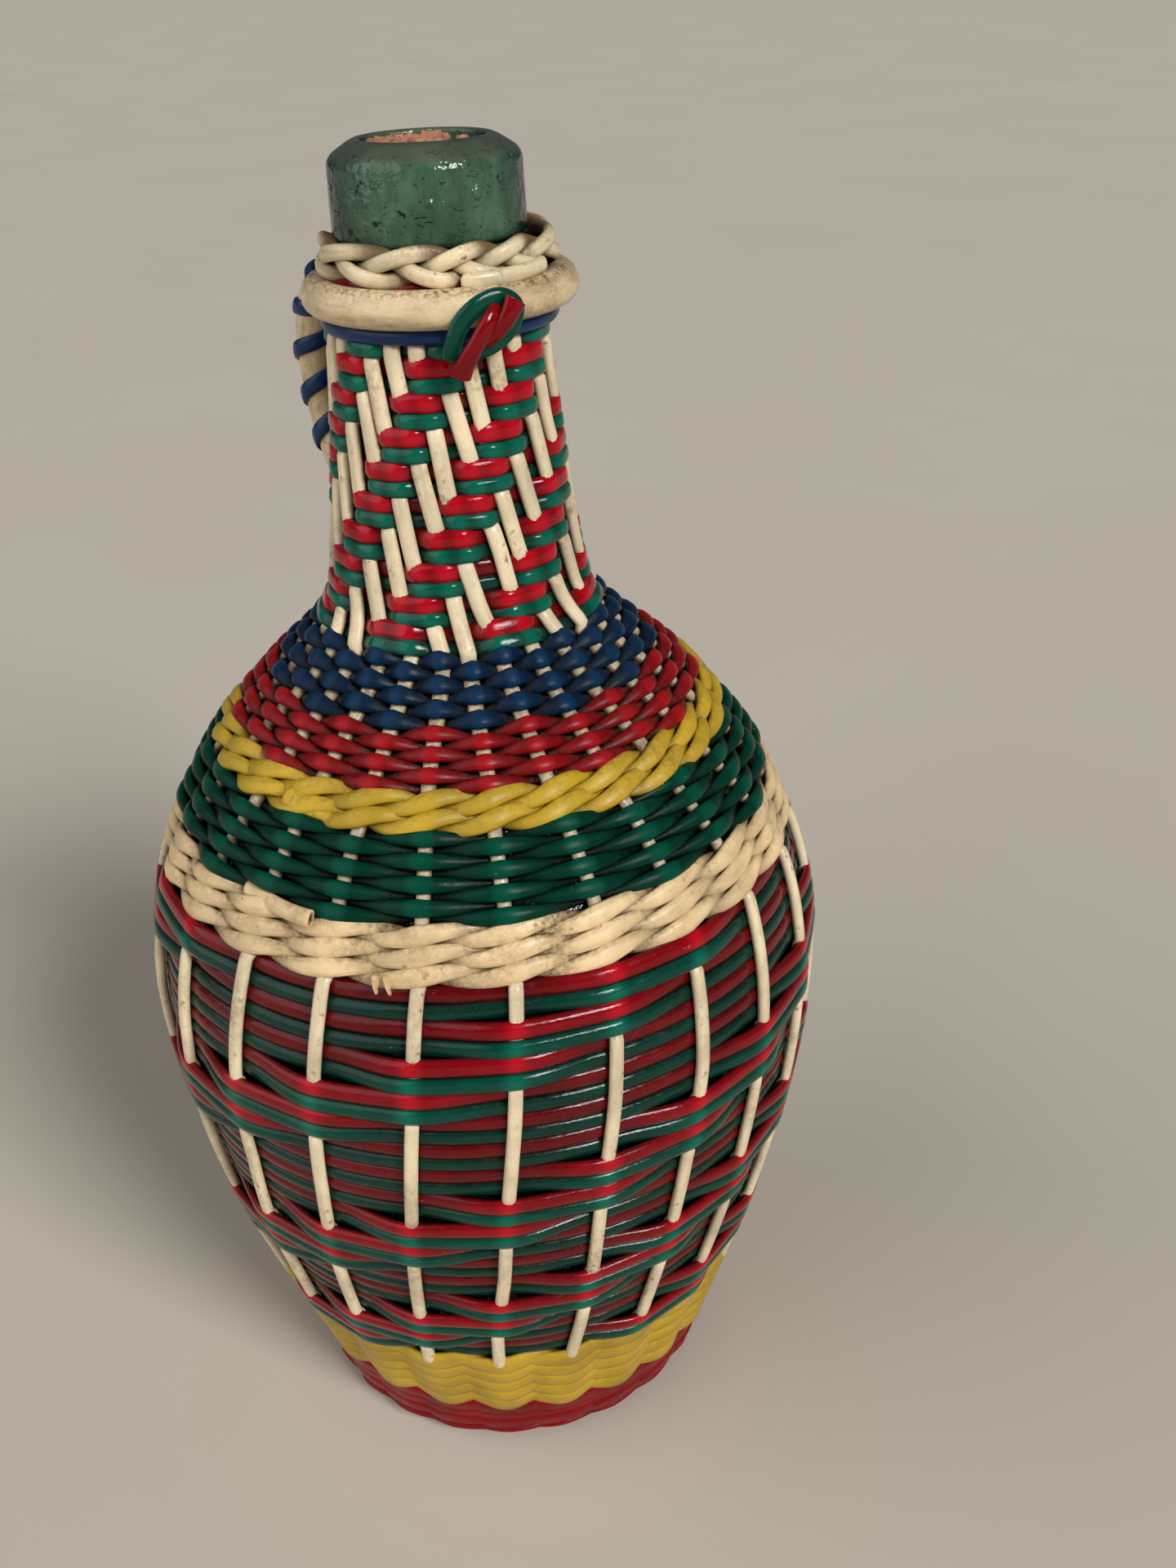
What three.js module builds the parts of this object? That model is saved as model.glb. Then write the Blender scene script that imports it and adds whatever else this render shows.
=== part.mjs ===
// A green glass bottle in a woven jacket of plastic cord, with a corked mouth, a plaited ring under
// the lip, a thick tube collar whose two ends make the handle, and a woven foot.
// Millimetres, +Z up, origin on the floor under the middle of the foot.
// Azimuth 0 is -Y and grows towards +X, so the handle at -90 degrees points along -X.
import * as THREE from 'three';
import { mergeVertices } from 'three/addons/utils/BufferGeometryUtils.js';

// Clearances between pieces that touch on the real bottle
const SEAT_GAP = 0.3;
const STAKE_GAP = 0.5;
const STAKE_SAG = 0.36;
const ROW_GAP = 0.6;
const CORK_GAP = 0.4;

// Glass bottle
const BELLY_RADIUS = 78.3;
const BELLY_Z = 130;
const HEEL_RADIUS = 50.5;
const HEEL_ROUND = 6;
const HEEL_LEAN_DEG = 17;
const HEEL_REACH = 38;
const BELLY_REACH_DOWN = 42;
const BELLY_REACH_UP = 34;
const SHOULDER_RADIUS = 40;
const SHOULDER_Z = 206;
const SHOULDER_LEAN_DEG = 50;
const SHOULDER_REACH_DOWN = 26;
const SHOULDER_REACH_UP = 12;
const NECK_BASE_RADIUS = 24.5;
const NECK_BASE_Z = 228;
const NECK_LEAN_DEG = 8;
const NECK_REACH_DOWN = 8;
const NECK_REACH_UP = 14;
const NECK_TOP_REACH = 30;
const NECK_TOP_RADIUS = 18.6;
const NECK_LENGTH = 72;
const LIP_RADIUS = 20.8;
const LIP_HEIGHT = 20;
const LIP_TAPER = 0.4;
const LIP_SLOPE_DROP = 5.6;
const LIP_FOOT_ROUND = 1.6;
const LIP_CURVE = [[0.22, 0.42], [0.6, 0.84]];
const BORE_RADIUS = 12.8;
const BORE_EDGE = 0.8;
const GLASS_WALL = 3.4;
const PUSH_UP = 7;
const PUSH_UP_SHOULDER = 0.75;
const BEARING_WIDTH = 5;

// Cork
const CORK_LENGTH = 21;
const CORK_SINK = 1.2;
const CORK_TAPER = 0.9;
const CORK_BREAK = 2.2;
const CORK_TOP = [[1, 1], [0.86, 0.4], [0.6, 1], [0.3, 0], [0, 0.3]];

// Cords of the jacket
const STAKE_COUNT = 23;
const FACETS = 20;
const STAKE_WIDTH = 3.4;
const STAKE_THICKNESS = 2;
const CORD_THICKNESS = 2.4;
const TUCK_LENGTH = 3.4;
const NECK_TURNS = 9;
const BELLY_TURNS = 16;
const SHOULDER_TOP_Z = 217;
const FOOT_TOP_Z = 44.5;
const FOOT_YELLOW_WIDTH = 23;
const FOOT_WRAP = 0.3;
const RIB_VALLEY = 0.35;
const INNER_STEP = 9;
const HEEL_STEP = 4;

// Stakes lean along the neck and the belly, and bunch up towards one side of the neck
const STAKE_START_DEG = 60;
const NECK_LEAN_TURN_DEG = -27;
const BELLY_LEAN_TURN_DEG = -9;
const BUNCH_GAP = 0.6;
const BUNCH_CENTRE_DEG = 52;

// Collar, handle and their cords
const TUBE_DIAMETER = 8.2;
const TUBE_SIDES = 6;
const COLLAR_DROP = 10.8;
const HANDLE_AZIMUTH_DEG = -90;
const HANDLE_SPREAD_DEG = 24;
const HANDLE_BULGE = 18;
const HANDLE_DROP = 46;
const HANDLE_ROOT = 0.28;
const HANDLE_SHAPE = [[0.68, 0.06], [0.95, 0.24], [1, 0.46], [0.86, 0.73], [0.58, 0.95], [0.28, 1]];
const TUBE_STEPS = 60;
const COLLAR_STEPS = 16;
const STRAP_GAP = 0.6;
const LASHING_TURNS = 5;
const LASHING_STEPS = 12;
const LASHING_WIDTH = 3;
const LASHING_THICKNESS = 1.6;
const LASHING_START = 0.2;
const LASHING_END = 0.86;
const RING_WIDTH = 2.8;
const RING_RISE = 2.6;
const STAKE_TOP_DROP = 1;

// Plait under the lip
const PLAIT_STRANDS = 3;
const PLAIT_RADIUS = 22.9;
const PLAIT_DROP = 2.4;
const PLAIT_WAVES = 4.5;
const PLAIT_RISE = 2.7;
const PLAIT_DEPTH = 1.6;
const PLAIT_CORD_WIDTH = 2.8;
const PLAIT_CORD_THICKNESS = 2;
const PLAIT_STEPS_PER_WAVE = 10;
const PLAIT_END_GAP_DEG = 6;

// Knot on the collar: cord points as [sideways, outward, up] from the collar's front
const KNOT_AZIMUTH_DEG = 73;
const KNOT_CORD = 3.2;
const KNOT_SIDES = 6;
const KNOT_STEPS = 14;
const KNOT_GREEN = [
  [-6.5, -1.6, -13.5], [-7, -0.6, -10], [-5.8, 0.2, -4.5], [-2, 0.4, 0.6], [3.4, 0.5, 2.6],
  [7.2, 0.6, -0.6], [6.3, 0.4, -5.4], [3, 0, -8.6], [-0.6, -0.6, -9.6],
];
const KNOT_RED = [
  [-5.8, -1.4, -14.6], [-4.3, -0.4, -9.6], [-1.7, 0.3, -5], [2.2, 0.5, -1.2], [6.6, 0.7, 3.2],
];

// Woven base
const BASE_THICKNESS = 4.7;
const BASE_RADIUS = 46.5;
const BASE_CHAMFER = 1;

const COLOURS = {
  glass: { color: 0x3a5c4a, roughness: 0.22, metalness: 0 },
  cork: { color: 0xb4743f, roughness: 0.9, metalness: 0 },
  cream: { color: 0xe1cda5, roughness: 0.42, metalness: 0 },
  red: { color: 0xaa1e2d, roughness: 0.32, metalness: 0 },
  green: { color: 0x006950, roughness: 0.32, metalness: 0 },
  blue: { color: 0x163a62, roughness: 0.36, metalness: 0 },
  yellow: { color: 0xcdb441, roughness: 0.4, metalness: 0 },
};

const NECK_TOP_Z = NECK_BASE_Z + NECK_LENGTH;
const TOP_Z = NECK_TOP_Z + LIP_HEIGHT;
const GLASS_FLOOR_Z = BASE_THICKNESS + SEAT_GAP;
const FACET = (2 * Math.PI) / FACETS;
const STAKE_STEP = (2 * Math.PI) / STAKE_COUNT;

const rad = THREE.MathUtils.degToRad;
const lerp = THREE.MathUtils.lerp;
const clamp01 = (value) => Math.min(1, Math.max(0, value));

// How far the flat of a facet lies inside the circle through its corners
function facetSag(radius) {
  return radius * (1 - Math.cos(FACET / 2));
}

function polar(radius, azimuth, z) {
  return new THREE.Vector3(radius * Math.sin(azimuth), -radius * Math.cos(azimuth), z);
}

// Merges shared corners, drops triangles without area and turns the faces outwards
function weld(geometry) {
  geometry.deleteAttribute('normal');
  geometry.deleteAttribute('uv');
  const merged = mergeVertices(geometry, 1e-3);
  const position = merged.attributes.position;
  const corner = (i) => new THREE.Vector3().fromBufferAttribute(position, i);
  const source = merged.index.array;
  const kept = [];
  let volume = 0;
  for (let i = 0; i < source.length; i += 3) {
    const [a, b, c] = [source[i], source[i + 1], source[i + 2]];
    if (a === b || b === c || c === a) continue;
    kept.push(a, b, c);
    volume += corner(a).dot(corner(b).cross(corner(c)));
  }
  if (volume < 0) kept.reverse();
  merged.setIndex(kept);
  merged.computeVertexNormals();
  return merged;
}

// Solid of revolution about Z from an outline of [radius, z] points, with facet corners in line with the
// steps of the wound cords
function revolve(outline) {
  const points = outline.map(([radius, z]) => new THREE.Vector2(Math.max(0, radius), z));
  const lathe = new THREE.LatheGeometry(points, FACETS, rad(HANDLE_AZIMUTH_DEG));
  return weld(lathe.rotateX(Math.PI / 2));
}

// Solid swept along stations { point, normal } with a convex section of [across, outward] points
function sweep(stations, section) {
  const count = section.length;
  const vertices = [];
  const index = [];
  stations.forEach(({ point, normal }, i) => {
    const before = stations[Math.max(0, i - 1)].point;
    const after = stations[Math.min(stations.length - 1, i + 1)].point;
    const along = after.clone().sub(before).normalize();
    const across = along.clone().cross(normal).normalize();
    const outward = across.clone().cross(along);
    section.forEach(([u, v]) => {
      const corner = point.clone().addScaledVector(across, u).addScaledVector(outward, v);
      vertices.push(corner.x, corner.y, corner.z);
    });
  });
  for (let i = 0; i + 1 < stations.length; i += 1) {
    for (let j = 0; j < count; j += 1) {
      const a = i * count + j;
      const b = i * count + ((j + 1) % count);
      index.push(a, b, a + count, b, b + count, a + count);
    }
  }
  const last = (stations.length - 1) * count;
  for (let j = 1; j + 1 < count; j += 1) {
    index.push(0, j + 1, j, last, last + j, last + j + 1);
  }
  const geometry = new THREE.BufferGeometry();
  geometry.setAttribute('position', new THREE.Float32BufferAttribute(vertices, 3));
  geometry.setIndex(index);
  return weld(geometry);
}

// Round tube along a curve
function tube(curve, diameter, sides, steps) {
  const corners = [];
  for (let j = 0; j < sides; j += 1) {
    const angle = (2 * Math.PI * j) / sides;
    corners.push(new THREE.Vector2(Math.cos(angle), Math.sin(angle)).multiplyScalar(diameter / 2));
  }
  return weld(new THREE.ExtrudeGeometry(new THREE.Shape(corners), { steps, extrudePath: curve }));
}

// Least clear distance between turns of a wound tube, measured on the points of its middle line
function leastGap(points, stepsPerTurn, width) {
  let least = Infinity;
  for (let i = 0; i < points.length; i += 1) {
    for (let j = i + Math.floor(stepsPerTurn / 2); j < points.length; j += 1) {
      least = Math.min(least, points[i].distanceTo(points[j]));
    }
  }
  return least - width;
}

// Outer wall of the glass from the heel to the underside of the lip, as x = radius and y = height
function glassWall() {
  const lean = (degrees, length) => new THREE.Vector2(Math.sin(rad(degrees)), Math.cos(rad(degrees)))
    .multiplyScalar(length);
  const heelCentre = new THREE.Vector2(HEEL_RADIUS - HEEL_ROUND, GLASS_FLOOR_Z + HEEL_ROUND);
  const heel = new THREE.EllipseCurve(
    heelCentre.x, heelCentre.y, HEEL_ROUND, HEEL_ROUND, -Math.PI / 2, -rad(HEEL_LEAN_DEG),
  );
  const heelTop = heel.getPoint(1);
  const belly = new THREE.Vector2(BELLY_RADIUS, BELLY_Z);
  const shoulder = new THREE.Vector2(SHOULDER_RADIUS, SHOULDER_Z);
  const neckBase = new THREE.Vector2(NECK_BASE_RADIUS, NECK_BASE_Z);
  const neckTop = new THREE.Vector2(NECK_TOP_RADIUS, NECK_TOP_Z);
  return [
    { curve: heel, steps: 3, innerSteps: 1 },
    {
      curve: new THREE.CubicBezierCurve(
        heelTop, heelTop.clone().add(lean(HEEL_LEAN_DEG, HEEL_REACH)),
        belly.clone().add(lean(0, -BELLY_REACH_DOWN)), belly,
      ),
      steps: 7,
      innerSteps: 4,
    },
    {
      curve: new THREE.CubicBezierCurve(
        belly, belly.clone().add(lean(0, BELLY_REACH_UP)),
        shoulder.clone().sub(lean(-SHOULDER_LEAN_DEG, SHOULDER_REACH_DOWN)), shoulder,
      ),
      steps: 8,
      innerSteps: 4,
    },
    {
      curve: new THREE.CubicBezierCurve(
        shoulder, shoulder.clone().add(lean(-SHOULDER_LEAN_DEG, SHOULDER_REACH_UP)),
        neckBase.clone().sub(lean(-NECK_LEAN_DEG, NECK_REACH_DOWN)), neckBase,
      ),
      steps: 6,
      innerSteps: 3,
    },
    {
      curve: new THREE.CubicBezierCurve(
        neckBase, neckBase.clone().add(lean(-NECK_LEAN_DEG, NECK_REACH_UP)),
        neckTop.clone().add(lean(0, -NECK_TOP_REACH)), neckTop,
      ),
      steps: 3,
      innerSteps: 2,
    },
  ];
}

// Table of the glass wall by length along it, for placing cords on it
const WALL_CURVES = glassWall();
const TABLE_STEPS = 160;
const wallTable = [];
WALL_CURVES.forEach(({ curve }, n) => {
  for (let i = n === 0 ? 0 : 1; i <= TABLE_STEPS; i += 1) {
    const point = curve.getPoint(i / TABLE_STEPS);
    const tangent = curve.getTangent(i / TABLE_STEPS);
    const before = wallTable[wallTable.length - 1];
    const s = before ? before.s + Math.hypot(point.x - before.r, point.y - before.z) : 0;
    wallTable.push({ s, r: point.x, z: point.y, nr: tangent.y, nz: -tangent.x });
  }
});

function tableBetween(key, value) {
  let high = wallTable.findIndex((row) => row[key] >= value);
  if (high < 1) high = high === 0 ? 1 : wallTable.length - 1;
  const a = wallTable[high - 1];
  const b = wallTable[high];
  return { a, b, t: clamp01((value - a[key]) / (b[key] - a[key])) };
}

// Length along the wall at a height above the heel
function lengthAt(z) {
  const { a, b, t } = tableBetween('z', z);
  return lerp(a.s, b.s, t);
}

// Radius, height and outward normal at a length along the wall, lifted off the glass by an offset
function onWall(s, offset = 0) {
  const { a, b, t } = tableBetween('s', s);
  const nr = lerp(a.nr, b.nr, t);
  const nz = lerp(a.nz, b.nz, t);
  return { r: lerp(a.r, b.r, t) + nr * offset, z: lerp(a.z, b.z, t) + nz * offset, nr, nz };
}

function wallStation(s, azimuth, offset) {
  const { r, z, nr, nz } = onWall(s, offset);
  return { point: polar(r, azimuth, z), normal: polar(nr, azimuth, nz) };
}

// Levels of the jacket, as lengths along the wall from the heel up
const COLLAR_Z = NECK_TOP_Z - COLLAR_DROP;
const COLLAR_LEVEL = lengthAt(COLLAR_Z);
const BLUE_RING_LEVEL = lengthAt(COLLAR_Z - TUBE_DIAMETER / 2 - SEAT_GAP - RING_WIDTH);
const RED_RING_LEVEL = lengthAt(COLLAR_Z + RING_RISE);
const STAKE_TOP_LEVEL = lengthAt(COLLAR_Z - STAKE_TOP_DROP);
const NECK_TOP_LEVEL = BLUE_RING_LEVEL - RING_WIDTH - TUCK_LENGTH / 2;
const SHOULDER_LEVEL = lengthAt(SHOULDER_TOP_Z);
const NECK_BOTTOM_LEVEL = SHOULDER_LEVEL + TUCK_LENGTH;
const SHOULDER_BANDS = [
  { name: 'shoulder_blue_weft', colour: 'blue', width: 17.8, ribs: 3 },
  { name: 'shoulder_red_weft', colour: 'red', width: 13.7, ribs: 3 },
  { name: 'shoulder_yellow_twist', colour: 'yellow', width: 8.3, ribs: 2 },
  { name: 'shoulder_green_weft', colour: 'green', width: 18.6, ribs: 4 },
  { name: 'shoulder_cream_twine', colour: 'cream', width: 12.3, ribs: 4 },
];
const SHOULDER_WIDTH = SHOULDER_BANDS.reduce((sum, band) => sum + band.width, 0);
const CREAM_LEVEL = SHOULDER_LEVEL - SHOULDER_WIDTH;
const BELLY_TOP_LEVEL = CREAM_LEVEL - TUCK_LENGTH;
const FOOT_LEVEL = lengthAt(FOOT_TOP_Z);
const BELLY_BOTTOM_LEVEL = FOOT_LEVEL + TUCK_LENGTH;
const HEEL_LEVEL = HEEL_ROUND * rad(90 - HEEL_LEAN_DEG);
const FOOT_END_LEVEL = HEEL_LEVEL * FOOT_WRAP;

// Middle of a stake over the windings, and of a stake tucked under the bands
const STAKE_OVER = SEAT_GAP + CORD_THICKNESS + STAKE_GAP;
const STAKE_UNDER = SEAT_GAP;
const underBands = (s) => STAKE_UNDER + STAKE_THICKNESS + SEAT_GAP + facetSag(onWall(s).r);
const JACKET = STAKE_OVER + STAKE_THICKNESS;

const bottle = new THREE.Group();

function add(name, colour, geometry) {
  const mesh = new THREE.Mesh(geometry, new THREE.MeshStandardMaterial(COLOURS[colour]));
  mesh.name = name;
  bottle.add(mesh);
}

function addGlass() {
  const outer = [];
  const inner = [];
  WALL_CURVES.forEach(({ curve, steps, innerSteps }, n) => {
    for (let i = n === 0 ? 0 : 1; i <= steps; i += 1) {
      const point = curve.getPoint(i / steps);
      outer.push([point.x, point.y]);
    }
    for (let i = n === 0 ? 0 : 1; i <= innerSteps; i += 1) {
      const point = curve.getPoint(i / innerSteps);
      const tangent = curve.getTangent(i / innerSteps);
      inner.push([point.x - tangent.y * GLASS_WALL, point.y + tangent.x * GLASS_WALL]);
    }
  });
  const bearingEdge = HEEL_RADIUS - HEEL_ROUND - BEARING_WIDTH;
  const slopeZ = TOP_Z - LIP_SLOPE_DROP;
  const rimRadius = BORE_RADIUS + BORE_EDGE;
  const lipTop = LIP_CURVE.map(([inwards, up]) => [
    lerp(LIP_RADIUS - LIP_TAPER, rimRadius, inwards), lerp(slopeZ, TOP_Z, up),
  ]);
  const outline = [
    [0, GLASS_FLOOR_Z + PUSH_UP],
    [bearingEdge / 2, GLASS_FLOOR_Z + PUSH_UP * PUSH_UP_SHOULDER],
    [bearingEdge, GLASS_FLOOR_Z],
    ...outer,
    [LIP_RADIUS - LIP_FOOT_ROUND / 2, NECK_TOP_Z + LIP_FOOT_ROUND / 3],
    [LIP_RADIUS, NECK_TOP_Z + 2 * LIP_FOOT_ROUND],
    [LIP_RADIUS - LIP_TAPER, slopeZ],
    ...lipTop,
    [rimRadius, TOP_Z],
    [BORE_RADIUS, TOP_Z - BORE_EDGE],
    [BORE_RADIUS, NECK_TOP_Z + LIP_FOOT_ROUND],
    ...inner.reverse(),
    [bearingEdge / 2, GLASS_FLOOR_Z + PUSH_UP * PUSH_UP_SHOULDER + GLASS_WALL],
    [0, GLASS_FLOOR_Z + PUSH_UP + GLASS_WALL],
  ];
  add('glass_bottle', 'glass', revolve(outline));
}

// Tapered cork with a broken top: a low rim, a dish and a stub left in the middle
function addCork() {
  const radius = BORE_RADIUS - CORK_GAP;
  const top = TOP_Z - CORK_SINK;
  const bottom = top - CORK_LENGTH;
  add('cork', 'cork', revolve([
    [0, bottom],
    [radius - CORK_TAPER, bottom],
    ...CORK_TOP.map(([out, down]) => [radius * out, top - CORK_BREAK * down]),
  ]));
}

// Three flat cords plaited into a ring that is not closed: the ends are cut
function addPlait() {
  const steps = PLAIT_WAVES * PLAIT_STEPS_PER_WAVE;
  const span = 2 * Math.PI - rad(PLAIT_END_GAP_DEG);
  const middle = NECK_TOP_Z - PLAIT_DROP;
  const section = cordSection(PLAIT_CORD_WIDTH, PLAIT_CORD_THICKNESS);
  for (let strand = 0; strand < PLAIT_STRANDS; strand += 1) {
    const stations = [];
    for (let i = 0; i <= steps; i += 1) {
      const azimuth = rad(HANDLE_AZIMUTH_DEG) + (span * i) / steps;
      const phase = 2 * Math.PI * (i / PLAIT_STEPS_PER_WAVE + strand / PLAIT_STRANDS);
      const radius = PLAIT_RADIUS + PLAIT_DEPTH * Math.sin(2 * phase);
      const point = polar(radius, azimuth, middle + PLAIT_RISE * Math.sin(phase));
      stations.push({ point, normal: polar(1, azimuth, 0) });
    }
    add(`neck_plait_strand_${strand + 1}`, 'cream', sweep(stations, section));
  }
}

// Flat cord of four sides, its middle on the path
function cordSection(width, thickness) {
  return [[-width / 2, 0], [0, -thickness / 2], [width / 2, 0], [0, thickness / 2]];
}

// Half-round cord of three sides, its flat side on the path
function beadSection(width, thickness) {
  return [[-width / 2, 0], [width / 2, 0], [0, thickness]];
}

// Wound cord that runs down the wall, turning towards falling azimuth
function addWinding(name, colour, { top, pitch, turns, width, lift, startDeg }) {
  const stations = [];
  const count = Math.round(turns * FACETS);
  for (let i = 0; i <= count; i += 1) {
    const s = top - (pitch * i) / FACETS;
    stations.push(wallStation(s, rad(startDeg) - i * FACET, lift));
  }
  const gap = leastGap(stations.map(({ point }) => point), FACETS, width);
  console.log(`${name} least gap to itself ${gap.toFixed(2)} mm`);
  add(name, colour, sweep(stations, beadSection(width, CORD_THICKNESS)));
}

// Red and green cords wound side by side over a stretch of the wall
function addWeftPair(prefix, topLevel, bottomLevel, turns) {
  const pitch = (topLevel - bottomLevel) / (turns + 1);
  const width = pitch / 2 - ROW_GAP;
  ['red', 'green'].forEach((colour, n) => {
    const top = topLevel - pitch * (0.25 + 0.5 * n);
    const run = { top, pitch, turns, width, lift: SEAT_GAP, startDeg: HANDLE_AZIMUTH_DEG };
    addWinding(`${prefix}_${colour}_weft`, colour, run);
  });
}

// One turn of cord that stops a facet short of its own start, where the handle hides it
function addCordRing(name, colour, level, lift) {
  const turns = (FACETS - 1) / FACETS;
  const run = { top: level, pitch: 0, turns, width: RING_WIDTH, lift, startDeg: HANDLE_AZIMUTH_DEG };
  addWinding(name, colour, run);
}

// Tightly woven band that hides the stakes: a ring with one rib for each row that shows
function addBand({ name, colour, ribs, innerStep = INNER_STEP }, topLevel, bottomLevel) {
  const top = topLevel - SEAT_GAP;
  const outline = [];
  for (let i = 0; i <= 2 * ribs; i += 1) {
    const s = lerp(top, bottomLevel, i / (2 * ribs));
    const height = i % 2 === 1 ? CORD_THICKNESS : CORD_THICKNESS * RIB_VALLEY;
    const { r, z } = onWall(s, underBands(s) + height);
    outline.push([r, z]);
  }
  const innerSteps = Math.ceil((top - bottomLevel) / innerStep);
  for (let i = 0; i <= innerSteps; i += 1) {
    const s = lerp(bottomLevel, top, i / innerSteps);
    const { r, z } = onWall(s, underBands(s));
    outline.push([r, z]);
  }
  outline.push(outline[0]);
  add(name, colour, revolve(outline));
}

function addBands() {
  let level = SHOULDER_LEVEL;
  SHOULDER_BANDS.forEach((band) => {
    addBand(band, level, level - band.width);
    level -= band.width;
  });
  const footSplit = FOOT_LEVEL - FOOT_YELLOW_WIDTH;
  const footYellow = { name: 'foot_yellow_weft', colour: 'yellow', ribs: 5 };
  const footRed = { name: 'foot_red_weft', colour: 'red', ribs: 4, innerStep: HEEL_STEP };
  addBand(footYellow, FOOT_LEVEL, footSplit);
  addBand(footRed, footSplit, FOOT_END_LEVEL);
}

// Share of their spacing that the stakes give up on the side of the neck where they bunch
const BUNCH = 1 - (STAKE_WIDTH + BUNCH_GAP) / (STAKE_STEP * onWall(STAKE_TOP_LEVEL, STAKE_UNDER).r);

// Turn of a stake away from its place on the belly's top edge, at a length along the wall
function stakeAzimuth(k, s) {
  const start = rad(STAKE_START_DEG) + k * STAKE_STEP;
  const bunch = clamp01((s - CREAM_LEVEL) / (SHOULDER_LEVEL - CREAM_LEVEL));
  const neck = clamp01((s - SHOULDER_LEVEL) / (NECK_TOP_LEVEL - SHOULDER_LEVEL));
  const belly = clamp01((CREAM_LEVEL - s) / (CREAM_LEVEL - FOOT_LEVEL));
  return start + rad(NECK_LEAN_TURN_DEG) * neck + rad(BELLY_LEAN_TURN_DEG) * belly
    - BUNCH * bunch * Math.sin(start - rad(BUNCH_CENTRE_DEG));
}

// Fewest straight steps that keep a stake within its sag of the curved wall
function stakeSteps(from, to) {
  let steps = 0;
  let sag = Infinity;
  while (sag > STAKE_SAG) {
    steps += 1;
    sag = 0;
    for (let i = 0; i < steps; i += 1) {
      const [a, middle, b] = [i, i + 0.5, i + 1].map((n) => onWall(lerp(from, to, n / steps)));
      sag = Math.max(sag, Math.hypot((a.r + b.r) / 2 - middle.r, (a.z + b.z) / 2 - middle.z));
    }
  }
  return steps;
}

// Upright stakes: over the neck and belly windings, and tucked under the collar, shoulder and foot bands
function addStakes() {
  const stretches = [
    { from: STAKE_TOP_LEVEL, to: BLUE_RING_LEVEL - RING_WIDTH, offset: STAKE_UNDER },
    { from: NECK_TOP_LEVEL, to: NECK_BOTTOM_LEVEL, offset: STAKE_OVER },
    { from: SHOULDER_LEVEL, to: CREAM_LEVEL, offset: STAKE_UNDER },
    { from: BELLY_TOP_LEVEL, to: BELLY_BOTTOM_LEVEL, offset: STAKE_OVER },
    { from: FOOT_LEVEL, to: HEEL_LEVEL, offset: STAKE_UNDER },
  ];
  const section = beadSection(STAKE_WIDTH, STAKE_THICKNESS);
  for (let k = 0; k < STAKE_COUNT; k += 1) {
    const stations = [];
    stretches.forEach(({ from, to, offset }) => {
      const steps = stakeSteps(from, to);
      for (let i = 0; i <= steps; i += 1) {
        const s = lerp(from, to, i / steps);
        stations.push(wallStation(s, stakeAzimuth(k, s), offset));
      }
    });
    add(`stake_${String(k + 1).padStart(2, '0')}`, 'cream', sweep(stations, section));
  }
}

// Middle line of the handle in its own plane, as x = distance from the axis and y = height
const COLLAR_RADIUS = onWall(COLLAR_LEVEL, underBands(COLLAR_LEVEL)).r + TUBE_DIAMETER / 2 + SEAT_GAP;
function handleLine() {
  const footZ = COLLAR_Z - HANDLE_DROP;
  const foot = onWall(lengthAt(footZ - TUBE_DIAMETER / 2), JACKET).r + SEAT_GAP;
  const out = COLLAR_RADIUS + HANDLE_BULGE;
  return [
    [lerp(COLLAR_RADIUS, out, HANDLE_ROOT), COLLAR_Z],
    ...HANDLE_SHAPE.map(([reach, drop]) => [
      lerp(COLLAR_RADIUS, out, reach), COLLAR_Z - HANDLE_DROP * drop,
    ]),
    [foot, footZ],
  ];
}

function handlePoint(reach, side, z) {
  const azimuth = rad(HANDLE_AZIMUTH_DEG);
  const outward = polar(1, azimuth, 0);
  const sideways = polar(1, azimuth + Math.PI / 2, 0);
  return outward.multiplyScalar(reach).addScaledVector(sideways, side).setZ(z);
}

// One tube: up one strap, once round the neck as the collar, and down the other strap
function addCollarAndHandle() {
  const side = (TUBE_DIAMETER + STRAP_GAP) / 2;
  const strap = (sign) => handleLine().map(([reach, z]) => handlePoint(reach, sign * side, z));
  const ring = [];
  const from = HANDLE_AZIMUTH_DEG + HANDLE_SPREAD_DEG;
  const to = HANDLE_AZIMUTH_DEG + 360 - HANDLE_SPREAD_DEG;
  for (let i = 0; i <= COLLAR_STEPS; i += 1) {
    ring.push(polar(COLLAR_RADIUS, rad(lerp(from, to, i / COLLAR_STEPS)), COLLAR_Z));
  }
  const path = new THREE.CatmullRomCurve3([...strap(1).reverse(), ...ring, ...strap(-1)]);
  add('collar_handle_tube', 'cream', tube(path, TUBE_DIAMETER, TUBE_SIDES, TUBE_STEPS));
}

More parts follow.
